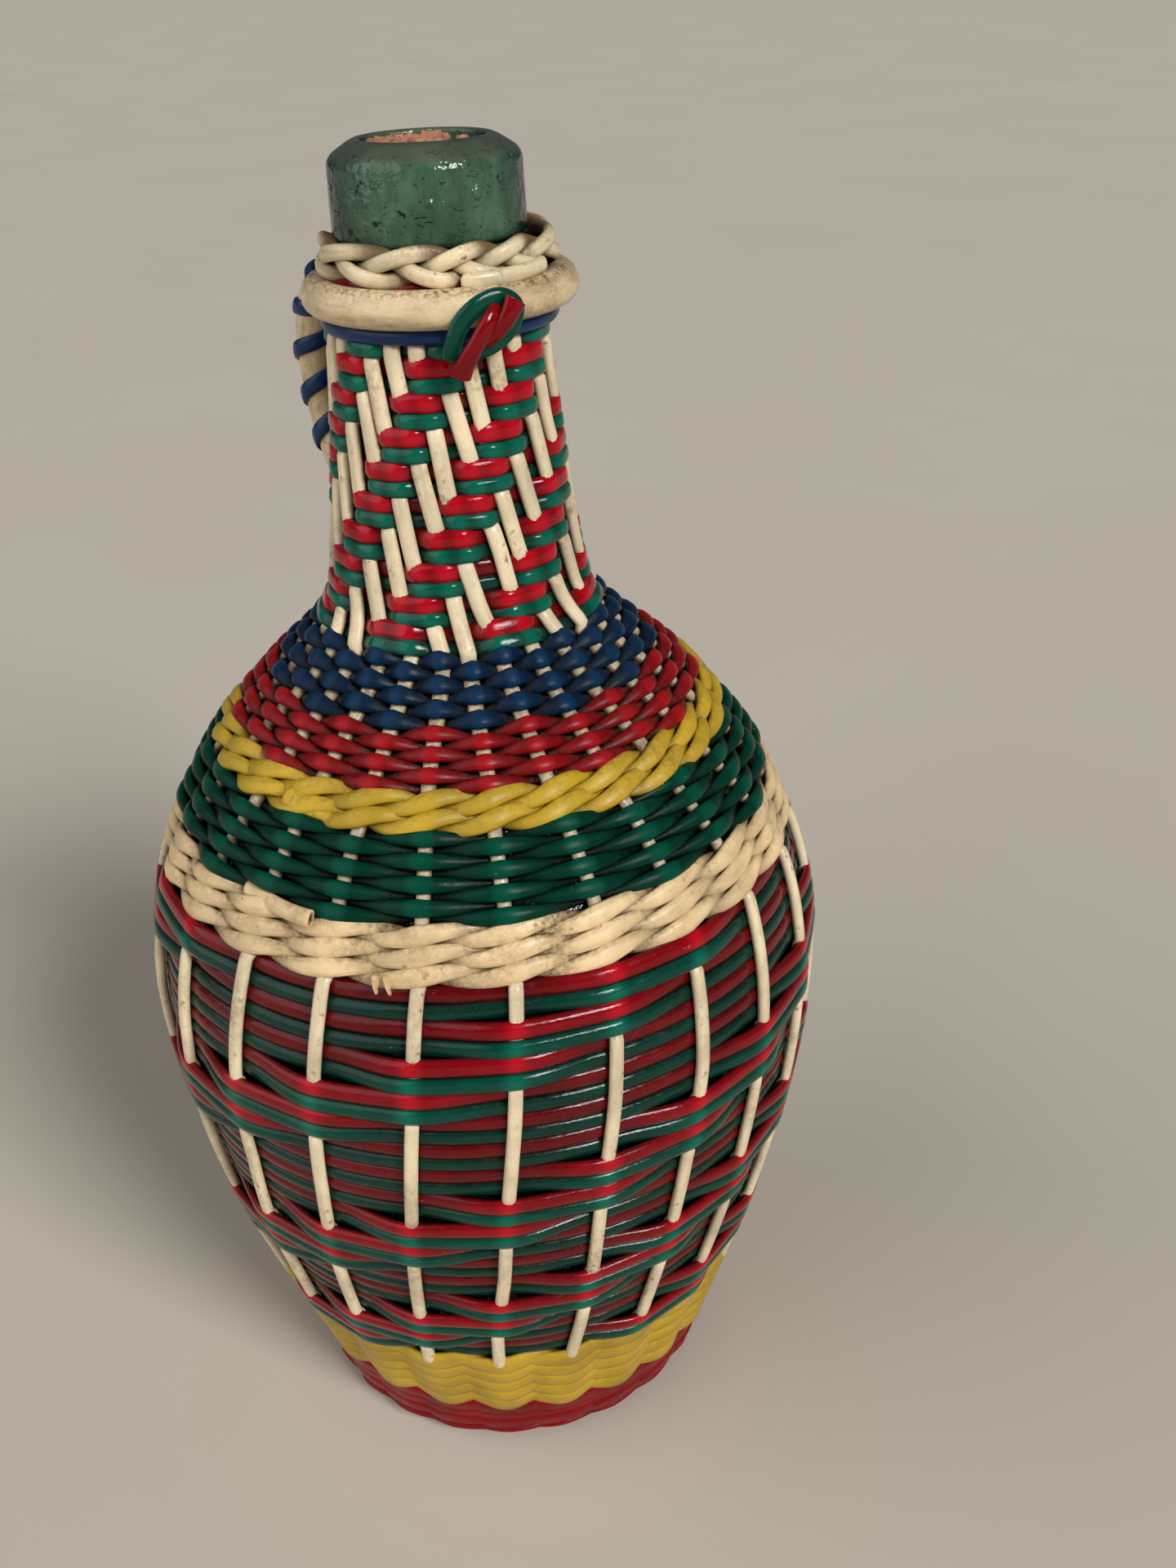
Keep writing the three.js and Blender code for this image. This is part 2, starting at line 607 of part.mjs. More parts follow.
// Blue cord wound round both straps at a wide pitch
function addLashing() {
  const line = new THREE.CatmullRomCurve3(handleLine().map(([reach, z]) => handlePoint(reach, 0, z)));
  const side = (TUBE_DIAMETER + STRAP_GAP) / 2;
  const sideways = polar(1, rad(HANDLE_AZIMUTH_DEG) + Math.PI / 2, 0);
  const steps = LASHING_TURNS * LASHING_STEPS;
  const reach = TUBE_DIAMETER / 2 / Math.cos(Math.PI / LASHING_STEPS) + SEAT_GAP + LASHING_THICKNESS / 2;
  const stations = [];
  for (let i = 0; i <= steps; i += 1) {
    const u = lerp(LASHING_START, LASHING_END, i / steps);
    const along = line.getTangentAt(u);
    const outward = along.clone().cross(sideways).normalize();
    const angle = (2 * Math.PI * i) / LASHING_STEPS;
    const normal = sideways.clone().multiplyScalar(Math.cos(angle))
      .addScaledVector(outward, Math.sin(angle));
    const between = i % (LASHING_STEPS / 2) === LASHING_STEPS / 4;
    const strap = between ? 0 : side * Math.sign(Math.cos(angle));
    const point = line.getPointAt(u).addScaledVector(sideways, strap).addScaledVector(normal, reach);
    stations.push({ point, normal });
  }
  const gap = leastGap(stations.map(({ point }) => point), LASHING_STEPS, LASHING_WIDTH);
  console.log(`handle_blue_lashing least gap to itself ${gap.toFixed(2)} mm`);
  add('handle_blue_lashing', 'blue', sweep(stations, cordSection(LASHING_WIDTH, LASHING_THICKNESS)));
}

// Two cord ends knotted in front of the collar: a green loop with a red end laid across it
function addKnot() {
  const face = COLLAR_RADIUS + TUBE_DIAMETER / 2 + SEAT_GAP + KNOT_CORD / 2;
  const azimuth = rad(KNOT_AZIMUTH_DEG);
  const cord = (points, lift) => {
    const line = points.map(([sideways, outward, up]) => polar(face + lift + outward, azimuth, COLLAR_Z + up)
      .add(polar(sideways, azimuth + Math.PI / 2, 0)));
    return tube(new THREE.CatmullRomCurve3(line), KNOT_CORD, KNOT_SIDES, KNOT_STEPS);
  };
  add('knot_green_cord', 'green', cord(KNOT_GREEN, 0));
  add('knot_red_cord', 'red', cord(KNOT_RED, KNOT_CORD + SEAT_GAP));
}

// Disc of base weave: flat underneath, where the bottle stands
function addBase() {
  add('base_weave', 'red', revolve([
    [0, 0],
    [BASE_RADIUS - BASE_CHAMFER, 0],
    [BASE_RADIUS, BASE_CHAMFER],
    [BASE_RADIUS, BASE_THICKNESS],
    [0, BASE_THICKNESS],
  ]));
}

addGlass();
addCork();
addPlait();
addCordRing('neck_red_cord', 'red', RED_RING_LEVEL, SEAT_GAP);
addCollarAndHandle();
addCordRing('collar_blue_cord', 'blue', BLUE_RING_LEVEL, underBands(BLUE_RING_LEVEL));
addLashing();
addKnot();
addWeftPair('neck', NECK_TOP_LEVEL, NECK_BOTTOM_LEVEL, NECK_TURNS);
addBands();
addWeftPair('belly', BELLY_TOP_LEVEL, BELLY_BOTTOM_LEVEL, BELLY_TURNS);
addBase();
addStakes();

export default bottle;
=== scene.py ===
import math

import bpy
import numpy as np
from mathutils import Matrix, Vector, noise


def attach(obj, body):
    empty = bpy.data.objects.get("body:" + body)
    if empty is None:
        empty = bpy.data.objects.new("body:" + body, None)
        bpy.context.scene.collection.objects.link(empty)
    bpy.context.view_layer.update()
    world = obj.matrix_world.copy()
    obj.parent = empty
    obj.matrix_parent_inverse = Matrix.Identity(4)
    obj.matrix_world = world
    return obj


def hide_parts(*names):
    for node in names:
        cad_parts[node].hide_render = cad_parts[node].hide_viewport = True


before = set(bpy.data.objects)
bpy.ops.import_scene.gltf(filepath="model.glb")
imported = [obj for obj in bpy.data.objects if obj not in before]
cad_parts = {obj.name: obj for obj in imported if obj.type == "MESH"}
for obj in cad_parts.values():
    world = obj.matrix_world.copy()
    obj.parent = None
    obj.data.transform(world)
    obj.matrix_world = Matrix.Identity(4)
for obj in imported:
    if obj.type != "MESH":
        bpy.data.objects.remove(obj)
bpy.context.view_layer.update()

# Lengths below are millimetres in the bottle's own frame, +Z up, and become metres in the meshes.
# Azimuth 0 is -Y and grows towards +X; the handle points along -X.
MM = 0.001
BOTTLE = "wrapped_bottle"

# Camera, fitted to the outline of the bottle
CAMERA_TURN_DEG = 55
CAMERA_REACH = 350
CAMERA_HEIGHT = 354
CAMERA_PITCH_DEG = 27.9
CAMERA_YAW_DEG = 4.5
CAMERA_ROLL_DEG = -2.65
CAMERA_LENS, CAMERA_SENSOR = 36.73, 36

# Light: each lamp's place in metres as seen from the camera's side, how wide it looks and its strength
LAMPS = (("window", (1.92, -3.06, 2.6), 20, 2.85), ("fill", (-3.0, -1.2, 2.0), 70, 1.4))
LAMP_AIM = (0, 0, 0.16)
SKY_COLOUR, SKY_STRENGTH = (0.93, 0.96, 1.0, 1), 0.11
FLOOR_RADIUS_M = 40

# Glass
BELLY_RADIUS, BELLY_Z = 78.3, 130
HEEL_RADIUS, HEEL_ROUND, HEEL_LEAN_DEG, HEEL_REACH, HEEL_STEPS = 50.5, 6, 17, 38, 40
BELLY_REACH_DOWN, BELLY_REACH_UP = 42, 34
SHOULDER_RADIUS, SHOULDER_Z, SHOULDER_LEAN_DEG = 40, 206, 50
SHOULDER_REACH_DOWN, SHOULDER_REACH_UP = 26, 12
NECK_BASE_RADIUS, NECK_BASE_Z, NECK_LEAN_DEG = 24.5, 228, 8
NECK_REACH_DOWN, NECK_REACH_UP, NECK_TOP_REACH = 8, 14, 30
NECK_TOP_RADIUS, NECK_TOP_Z = 18.6, 300
GLASS_FLOOR_Z = 5
GLASS_WALL = 3.4
LIP_RADIUS, LIP_TOP_RADIUS, SLOPE_Z = 20.3, 20.1, 314.6
LIP_UNDER_ROUND, LIP_EDGE_ROUND = 1.6, 3.4
BORE_RADIUS = 12.8

# Jacket
STAKE_COUNT = 23
STAKE_START_DEG = 58.6
NECK_LEAN_TURN_DEG = -27
BELLY_LEAN_TURN_DEG = -9
BUNCH_CENTRE_DEG = 52
BUNCH, BUNCH_MARGIN = 0.23, 5
HANDLE_DEG = -90
COLLAR_Z, COLLAR_RADIUS, TUBE = 290, 25.4, 7.9
NECK_WEAVE_TOP_Z = 279.8
SHOULDER_TOP_Z = 217
FOOT_TOP_Z = 44.5
FIRST_STAKE, LAST_STAKE = -9, 13
# How far the ends of a wound cord run on past the last stake, in stakes
TUCK = 0.75
NECK_TURNS, BELLY_TURNS = 9, 16
CORD_THICKNESS = 2.4
NECK_STAKE_WIDTH, BELLY_STAKE_WIDTH, STAKE_THICKNESS = 3.65, 3.2, 2.5
LIFT_UNDER, NECK_LIFT_OVER, BELLY_LIFT_OVER = 1.4, 4.1, 4.3
STAKE_UNDER, NECK_STAKE_OVER, BELLY_STAKE_OVER, STAKE_BAND = 1.6, 3.8, 3.9, 2.2
# Height of the jacket over the glass, by which the gaps, with their painted shade and dust, are told from the
# tops
JACKET = 5.4

rng = np.random.default_rng(7)


def smooth(t):
    t = np.clip(t, 0, 1)
    return t * t * (3 - 2 * t)


# Outer wall of the glass, from the heel up, by length along it
def bezier(a, b, c, d, steps=200):
    t = np.linspace(0, 1, steps)[:, None]
    a, b, c, d = (np.asarray(p, float) for p in (a, b, c, d))
    return a * (1 - t) ** 3 + 3 * b * t * (1 - t) ** 2 + 3 * c * t * t * (1 - t) + d * t ** 3


def lean(degrees, length):
    angle = math.radians(degrees)
    return np.array([math.sin(angle), math.cos(angle)]) * length


def glass_wall():
    angles = np.radians(np.linspace(-90, -HEEL_LEAN_DEG, HEEL_STEPS))
    centre = np.array([HEEL_RADIUS - HEEL_ROUND, GLASS_FLOOR_Z + HEEL_ROUND])
    heel = centre + HEEL_ROUND * np.stack([np.cos(angles), np.sin(angles)], 1)
    belly = np.array([BELLY_RADIUS, BELLY_Z])
    shoulder = np.array([SHOULDER_RADIUS, SHOULDER_Z])
    base = np.array([NECK_BASE_RADIUS, NECK_BASE_Z])
    top = np.array([NECK_TOP_RADIUS, NECK_TOP_Z])
    parts = [
        heel,
        bezier(heel[-1], heel[-1] + lean(HEEL_LEAN_DEG, HEEL_REACH),
               belly - lean(0, BELLY_REACH_DOWN), belly)[1:],
        bezier(belly, belly + lean(0, BELLY_REACH_UP),
               shoulder - lean(-SHOULDER_LEAN_DEG, SHOULDER_REACH_DOWN), shoulder)[1:],
        bezier(shoulder, shoulder + lean(-SHOULDER_LEAN_DEG, SHOULDER_REACH_UP),
               base - lean(-NECK_LEAN_DEG, NECK_REACH_DOWN), base)[1:],
        bezier(base, base + lean(-NECK_LEAN_DEG, NECK_REACH_UP),
               top - lean(0, NECK_TOP_REACH), top)[1:],
    ]
    return np.concatenate(parts)


WALL = glass_wall()
WALL_S = np.concatenate([[0], np.cumsum(np.hypot(*np.diff(WALL, axis=0).T))])
WALL_SLOPE = np.gradient(WALL, WALL_S, axis=0)


def length_at(z):
    return float(np.interp(z, WALL[:, 1], WALL_S))


def on_wall(s):
    r = np.interp(s, WALL_S, WALL[:, 0])
    z = np.interp(s, WALL_S, WALL[:, 1])
    nr = np.interp(s, WALL_S, WALL_SLOPE[:, 1])
    nz = -np.interp(s, WALL_S, WALL_SLOPE[:, 0])
    return r, z, nr, nz


def polar(r, azimuth, z):
    return np.stack(np.broadcast_arrays(r * np.sin(azimuth), -r * np.cos(azimuth), z), -1)


def place(s, azimuth, lift):
    """Points on the wall lifted off the glass, and the directions straight out from it."""
    r, z, nr, nz = on_wall(s)
    return polar(r + nr * lift, azimuth, z + nz * lift), polar(nr, azimuth, nz)


# Levels of the jacket
SHOULDER_LEVEL = length_at(SHOULDER_TOP_Z)
FOOT_LEVEL = length_at(FOOT_TOP_Z)
STAKE_TOP_LEVEL = length_at(COLLAR_Z - 2)
NECK_TOP_LEVEL = length_at(NECK_WEAVE_TOP_Z)
BANDS = {"blue": (17.8, 6), "red": (13.7, 6), "yellow": (8.3, 2), "green": (18.6, 8), "cream": (12.3, 3)}
BAND_TOP = {}
level = SHOULDER_LEVEL
for band, (band_width, _) in BANDS.items():
    BAND_TOP[band] = level
    level -= band_width
CREAM_LEVEL = level
FOOT_YELLOW_WIDTH = 27
FOOT_SPLIT, FOOT_END = FOOT_LEVEL - FOOT_YELLOW_WIDTH, 2.0


def stake_azimuth(k, s):
    start = math.radians(STAKE_START_DEG) + k * 2 * math.pi / STAKE_COUNT
    bunch = smooth((s - CREAM_LEVEL + BUNCH_MARGIN) / (SHOULDER_LEVEL - CREAM_LEVEL + 2 * BUNCH_MARGIN))
    neck = np.clip((s - SHOULDER_LEVEL) / (NECK_TOP_LEVEL - SHOULDER_LEVEL), 0, 1)
    belly = np.clip((CREAM_LEVEL - s) / (CREAM_LEVEL - FOOT_LEVEL), 0, 1)
    turn = math.radians(NECK_LEAN_TURN_DEG) * neck + math.radians(BELLY_LEAN_TURN_DEG) * belly
    return start + turn - BUNCH * bunch * math.sin(start - math.radians(BUNCH_CENTRE_DEG))


# Which rows hide a stake: two rows of four on the neck, and pairs of rows in steps on the belly
def neck_hides(k, row):
    return (k + row) % 4 in (2, 3)


BELLY_STEPS = (-12, -6, 0, 6, 11, 16, 21, 26)


def belly_hides(k, row):
    step = row + k - 2
    return step in BELLY_STEPS or step - 1 in BELLY_STEPS


# Cords as tubes of an oval section. The last two rings of an end: how far out they are, and how small
ROUND_REACH, ROUND_SIZE = (0.6, 1.0), (0.85, 0.45)
HOLLOW_REACH, HOLLOW_SIZE = (0.05, -0.8), (0.78, 0.7)
FINE_SIDES = 14


def tube(points, outward, width, thickness, rise=None, glow=None, sides=10, ends=(0.5, 0.5), hollow=False,
         power=0.86):
    """One cord along points, its flat side square to outward. ends are how far each end is rounded off.

    For its paint, rise is the height of its middle over the glass, and glow is how pale it is there.
    """
    points, outward = np.asarray(points, float), np.asarray(outward, float)
    count = len(points)
    along = np.gradient(points, axis=0)
    along /= np.linalg.norm(along, axis=1)[:, None]
    across = np.cross(along, outward)
    across /= np.linalg.norm(across, axis=1)[:, None]
    out = np.cross(across, along)
    width = np.broadcast_to(np.asarray(width, float), count) / 2
    thickness = np.broadcast_to(np.asarray(thickness, float), count) / 2
    rise = np.full(count, JACKET) if rise is None else np.broadcast_to(rise, count)
    glow = np.zeros(count) if glow is None else np.broadcast_to(glow, count)
    distance = np.concatenate([[0], np.cumsum(np.linalg.norm(np.diff(points, axis=0), axis=1))])
    first, last = ends
    rows = np.array([0, 0, *range(count), count - 1, count - 1])
    far_end = HOLLOW_REACH if hollow else [reach * last for reach in ROUND_REACH]
    shift = np.array([*(-reach * first for reach in ROUND_REACH[::-1]), *[0.0] * count, *far_end])
    shrink = np.array([*ROUND_SIZE[::-1], *[1.0] * count, *(HOLLOW_SIZE if hollow else ROUND_SIZE)])
    angles = np.linspace(0, 2 * math.pi, sides, endpoint=False)
    cos = np.sign(np.cos(angles)) * np.abs(np.cos(angles)) ** power
    sin = np.sign(np.sin(angles)) * np.abs(np.sin(angles)) ** power
    centre = points[rows] + along[rows] * (shift * thickness[rows] * 2)[:, None]
    ring = (centre[:, None] + across[rows][:, None] * (width[rows] * shrink)[:, None, None] * cos[:, None]
            + out[rows][:, None] * (thickness[rows] * shrink)[:, None, None] * sin[:, None])
    height = rise[rows][:, None] + (thickness[rows] * shrink)[:, None] * sin
    if hollow:
        height[-1] = 0
    light = np.repeat(glow[rows][:, None], sides, 1)
    n = len(rows)
    i, j = np.meshgrid(np.arange(n - 1), np.arange(sides), indexing="ij")
    j2 = (j + 1) % sides
    quads = np.stack([i * sides + j, (i + 1) * sides + j, (i + 1) * sides + j2, i * sides + j2], -1)
    u = distance[rows] * MM
    near, far = j / sides, (j + 1) / sides
    corners = ((u[i], near), (u[i + 1], near), (u[i + 1], far), (u[i], far))
    uv = np.stack([np.stack(corner, -1) for corner in corners], 2).reshape(-1, 2)
    caps = [list(range(sides)), list(range((n - 1) * sides, n * sides))[::-1]]
    return {"points": ring.reshape(-1, 3), "quads": quads.reshape(-1, 4), "uv": uv, "caps": caps,
            "rise": height.reshape(-1) / JACKET, "glow": light.reshape(-1), "cap_u": (u[0], u[-1])}


def cord_piece(name, tubes, material, nodes, body=BOTTLE):
    """Makes one piece from its tubes and lets it stand for CAD nodes."""
    points, faces, uv, rise, glow = [], [], [], [], []
    offset = 0
    for part in tubes:
        points.append(part["points"])
        faces += (part["quads"] + offset).tolist()
        uv.append(part["uv"])
        for cap, u in zip(part["caps"], part["cap_u"]):
            faces.append([c + offset for c in cap])
            uv.append(np.tile([u, 0.0], (len(cap), 1)))
        rise.append(part["rise"])
        glow.append(part["glow"])
        offset += len(part["points"])
    mesh = bpy.data.meshes.new(name)
    mesh.from_pydata((np.concatenate(points) * MM).tolist(), [], faces)
    mesh.polygons.foreach_set("use_smooth", [True] * len(mesh.polygons))
    layer = mesh.uv_layers.new(name="UVMap")
    layer.data.foreach_set("uv", np.concatenate(uv).astype(np.float32).ravel())
    for label, values in (("rise", rise), ("glow", glow)):
        attribute = mesh.attributes.new(label, "FLOAT", "POINT")
        attribute.data.foreach_set("value", np.concatenate(values).astype(np.float32))
    mesh.materials.append(material)
    mesh.validate()
    piece = bpy.data.objects.new(name, mesh)
    bpy.context.scene.collection.objects.link(piece)
    return finish_piece(piece, nodes, body)


def finish_piece(piece, nodes, body=BOTTLE):
    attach(piece, body)
    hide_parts(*nodes)
    return piece


def through(points, steps):
    """Smooth line through chosen points, in even steps along it."""
    between = 24
    points = np.asarray(points, float)
    padded = np.concatenate([[2 * points[0] - points[1]], points, [2 * points[-1] - points[-2]]])
    fine = []
    for a, b, c, d in zip(padded, padded[1:], padded[2:], padded[3:]):
        t = np.linspace(0, 1, between, endpoint=False)[:, None]
        fine.append(0.5 * (2 * b + (c - a) * t + (2 * a - 5 * b + 4 * c - d) * t * t
                           + (3 * b - a - 3 * c + d) * t ** 3))
    fine = np.concatenate(fine + [points[-1:]])
    run = np.concatenate([[0], np.cumsum(np.linalg.norm(np.diff(fine, axis=0), axis=1))])
    even = np.linspace(0, run[-1], steps)
    return np.stack([np.interp(even, run, fine[:, n]) for n in range(3)], 1)


# Materials
def node(tree, kind, **values):
    made = tree.nodes.new(kind)
    for key, value in values.items():
        if key.startswith("in_"):
            made.inputs[key[3:].replace("_", " ")].default_value = value
        else:
            setattr(made, key, value)
    return made


def linear(rgb):
    return [((c / 255 + 0.055) / 1.055) ** 2.4 if c > 10 else c / 255 / 12.92 for c in rgb] + [1.0]


class Paint:
    """Small helper round one material's node tree."""

    def __init__(self, name):
        self.material = bpy.data.materials.new(name)
        self.material.use_nodes = True
        self.tree = self.material.node_tree
        self.shader = self.tree.nodes["Principled BSDF"]
        self.object = node(self.tree, "ShaderNodeTexCoord")

    def link(self, a, b):
        self.tree.links.new(a, b)

    def noise(self, scale, detail=4, rough=0.6, source=None):
        made = node(self.tree, "ShaderNodeTexNoise", in_Scale=scale, in_Detail=detail, in_Roughness=rough)
        self.link(source or self.object.outputs["Object"], made.inputs["Vector"])
        return made.outputs["Fac"]

    def stretched(self, scale):
        made = node(self.tree, "ShaderNodeMapping")
        made.inputs["Scale"].default_value = scale
        self.link(self.object.outputs["UV"], made.inputs["Vector"])
        return made.outputs["Vector"]

    def attribute(self, name):
        return node(self.tree, "ShaderNodeAttribute", attribute_name=name).outputs["Fac"]

    def ramp(self, value, low, high, to_low=0.0, to_high=1.0):
        made = node(self.tree, "ShaderNodeMapRange", interpolation_type="SMOOTHSTEP")
        made.inputs["From Min"].default_value = low
        made.inputs["From Max"].default_value = high
        made.inputs["To Min"].default_value = to_low
        made.inputs["To Max"].default_value = to_high
        self.link(value, made.inputs["Value"])
        return made.outputs["Result"]

    def math(self, operation, a, b):
        made = node(self.tree, "ShaderNodeMath", operation=operation, use_clamp=True)
        for value, socket in zip((a, b), made.inputs):
            if isinstance(value, (int, float)):
                socket.default_value = value
            else:
                self.link(value, socket)
        return made.outputs[0]

    def mix(self, factor, a, b):
        made = node(self.tree, "ShaderNodeMix", data_type="RGBA")
        for value, socket in zip((factor, a, b), (made.inputs[0], made.inputs[6], made.inputs[7])):
            if isinstance(value, (list, tuple, int, float)):
                socket.default_value = value
            else:
                self.link(value, socket)
        return made.outputs[2]

    def facing_up(self):
        geometry = node(self.tree, "ShaderNodeNewGeometry")
        split = node(self.tree, "ShaderNodeSeparateXYZ")
        self.link(geometry.outputs["Normal"], split.inputs[0])
        return split.outputs["Z"]

    def bump(self, height, strength, distance):
        made = node(self.tree, "ShaderNodeBump", in_Strength=strength, in_Distance=distance)
        self.link(height, made.inputs["Height"])
        self.link(made.outputs["Normal"], self.shader.inputs["Normal"])


DUST = (66, 48, 30)
GRIME = (118, 88, 54)
LINT = linear((196, 182, 158))
STAIN = linear((126, 98, 60))
SPECK = linear((104, 74, 42))
SMEAR = linear((132, 104, 68))


def cord_paint(name, rgb, bright, gap_shade, dust=0.6, gloss=0.24, stain_share=0.0, top_dust=0.3, gap_top=0.8,
               gap_low=0.3, shine=0.3, grain_size=650, smudge=0.0, settled=DUST):
    """Semi-gloss plastic cord: paler over a cream stake, scuffed on top, with painted shade and dust in the
    gaps.

    gap_top and gap_low are the heights, in jackets, between which it darkens from its own colour to a painted
    shade of the gaps.
    """
    paint = Paint(name)
    shade = [c * 0.7 for c in linear(rgb)[:3]] + [1.0]
    colour = paint.mix(paint.ramp(paint.noise(70), 0.3, 0.7), shade, linear(rgb))
    streaks = paint.noise(1.0, 3, 0.6, paint.stretched((90, 7, 1)))
    colour = paint.mix(paint.ramp(streaks, 0.5, 0.85, 0, 0.3), colour, linear(bright))
    colour = paint.mix(paint.ramp(paint.attribute("glow"), 0, 1, 0, 0.5), colour, linear(bright))
    grain = paint.noise(grain_size, 6, 0.75)
    patches = paint.ramp(paint.noise(45, 6, 0.7), 0.48, 0.72)
    if stain_share:
        stains = paint.math("MULTIPLY", patches, stain_share)
        stains = paint.math("MULTIPLY", stains, paint.ramp(grain, 0.35, 0.6))
        colour = paint.mix(stains, colour, STAIN)
        specks = paint.math("MULTIPLY", paint.ramp(paint.noise(520, 3, 0.6), 0.6, 0.68), stain_share)
        specks = paint.math("MULTIPLY", specks, paint.ramp(paint.noise(60, 4), 0.42, 0.62))
        colour = paint.mix(specks, colour, SPECK)
    if smudge:
        smears = paint.ramp(paint.noise(1.0, 5, 0.7, paint.stretched((60, 5, 1))), 0.42, 0.72, 0, smudge)
        colour = paint.mix(smears, colour, SMEAR)
    # Painted shade in the gaps: the lower a point lies over the glass, the darker its colour
    gap = paint.ramp(paint.attribute("rise"), gap_top, gap_low)
    colour = paint.mix(paint.math("MULTIPLY", gap, 0.93), colour, linear(gap_shade))
    up = paint.ramp(paint.facing_up(), 0.35, 0.95, 0, top_dust)
    settle = paint.math("MULTIPLY", paint.math("ADD", gap, up), paint.ramp(grain, 0.44, 0.6))
    settle = paint.math("MULTIPLY", settle, paint.ramp(paint.noise(26, 3), 0.3, 0.65, 0.3, 1))
    settle = paint.math("MULTIPLY", settle, dust * 1.6)
    colour = paint.mix(settle, colour, linear(settled))
    lint = paint.ramp(paint.noise(900, 2, 0.5), 0.7, 0.76)
    lint = paint.math("MULTIPLY", lint, paint.ramp(patches, 0, 1, 0.02, 0.3))
    colour = paint.mix(lint, colour, LINT)
    paint.link(colour, paint.shader.inputs["Base Color"])
    scuffs = paint.ramp(paint.noise(160, 5, 0.7), 0.35, 0.75, gloss - 0.05, gloss + 0.14)
    roughness = paint.math("ADD", scuffs, paint.math("MULTIPLY", settle, 0.5))
    paint.link(roughness, paint.shader.inputs["Roughness"])
    paint.shader.inputs["Specular IOR Level"].default_value = shine
    paint.bump(paint.noise(1.0, 4, 0.6, paint.stretched((260, 9, 1))), 0.25, 0.0004)
    return paint.material


RED = cord_paint("red cord", (132, 2, 15), (208, 12, 36), (10, 1, 2), gloss=0.13, dust=0.18, gap_top=1.0,
                 gap_low=0.36, shine=0.26)
GREEN = cord_paint("green cord", (0, 66, 52), (0, 116, 92), (0, 5, 4), gloss=0.13, dust=0.18, gap_top=1.0,
                   gap_low=0.36, shine=0.26)
BLUE = cord_paint("blue cord", (2, 44, 92), (8, 72, 138), (4, 9, 16), gloss=0.3, dust=0.5, gap_top=0.9)
DUSTY_BLUE = cord_paint("dusty blue cord", (3, 30, 54), (8, 54, 90), (3, 4, 4), gloss=0.38, dust=0.6,
                        gap_top=0.88, gap_low=0.3, shine=0.12, settled=(46, 36, 24))
DUSTY_RED = cord_paint("dusty red cord", (122, 4, 12), (178, 12, 26), (24, 4, 3), gloss=0.36, dust=0.6,
                       gap_top=0.84, gap_low=0.26, shine=0.18)
DUSTY_GREEN = cord_paint("dusty green cord", (0, 50, 37), (0, 84, 62), (0, 6, 4), gloss=0.34, dust=0.3,
                         gap_top=0.84, gap_low=0.28, shine=0.08, top_dust=0.15, settled=(46, 38, 24))
FOOT_RED = cord_paint("foot red cord", (130, 5, 14), (178, 12, 28), (32, 3, 5), gloss=0.34, dust=0.3,
                      gap_top=0.76, shine=0.14)
YELLOW = cord_paint("yellow cord", (196, 160, 40), (216, 188, 74), (84, 62, 18), gloss=0.42, dust=0.6,
                    stain_share=0.35, gap_top=0.9)
CLEAN_YELLOW = cord_paint("foot yellow cord", (188, 152, 42), (212, 182, 70), (92, 68, 16), gloss=0.34,
                          dust=0.3, gap_top=0.82, gap_low=0.36, shine=0.2)
CREAM = cord_paint("cream cord", (240, 208, 158), (250, 230, 192), (88, 62, 34), gloss=0.36, dust=0.8,
                   stain_share=0.6, gap_top=0.94, gap_low=0.46, smudge=0.3)
PLAIT_CREAM = cord_paint("plait cord", (238, 218, 178), (250, 238, 210), (78, 56, 30), gloss=0.32, dust=0.9,
                         stain_share=0.8, top_dust=0.35, gap_top=1.0, gap_low=0.5,
                         grain_size=1200, smudge=0.35, settled=GRIME)
STAKE_CREAM = cord_paint("stake cord", (238, 218, 182), (250, 238, 212), (98, 72, 46), gloss=0.3, dust=0.6,
                         stain_share=0.7, smudge=0.25)
TUBE_CREAM = cord_paint("cream tube", (230, 206, 164), (244, 228, 196), (100, 74, 42), gloss=0.3, dust=0.85,
                        stain_share=0.6, top_dust=1.0, grain_size=900, smudge=0.6, settled=GRIME)


# Camera, lights and floor
def set_camera():
    pitch, yaw, roll = (math.radians(d) for d in (CAMERA_PITCH_DEG, CAMERA_YAW_DEG, CAMERA_ROLL_DEG))
    ahead = Vector((math.sin(yaw) * math.cos(pitch), math.cos(yaw) * math.cos(pitch), -math.sin(pitch)))
    right = Vector((math.cos(yaw), -math.sin(yaw), 0))
    up = right.cross(ahead)
    right, up = (math.cos(roll) * right + math.sin(roll) * up, -math.sin(roll) * right + math.cos(roll) * up)
    turn = Matrix.Rotation(math.radians(CAMERA_TURN_DEG), 4, "Z")
    pose = Matrix((right, up, -ahead)).transposed().to_4x4()
    pose.translation = Vector((0, -CAMERA_REACH, CAMERA_HEIGHT)) * MM
    data = bpy.data.cameras.new("camera")
    data.sensor_fit = "VERTICAL"
    data.sensor_width = data.sensor_height = CAMERA_SENSOR
    data.lens = CAMERA_LENS
    camera = bpy.data.objects.new("camera", data)
    bpy.context.scene.collection.objects.link(camera)
    camera.matrix_world = turn @ pose
    bpy.context.scene.camera = camera


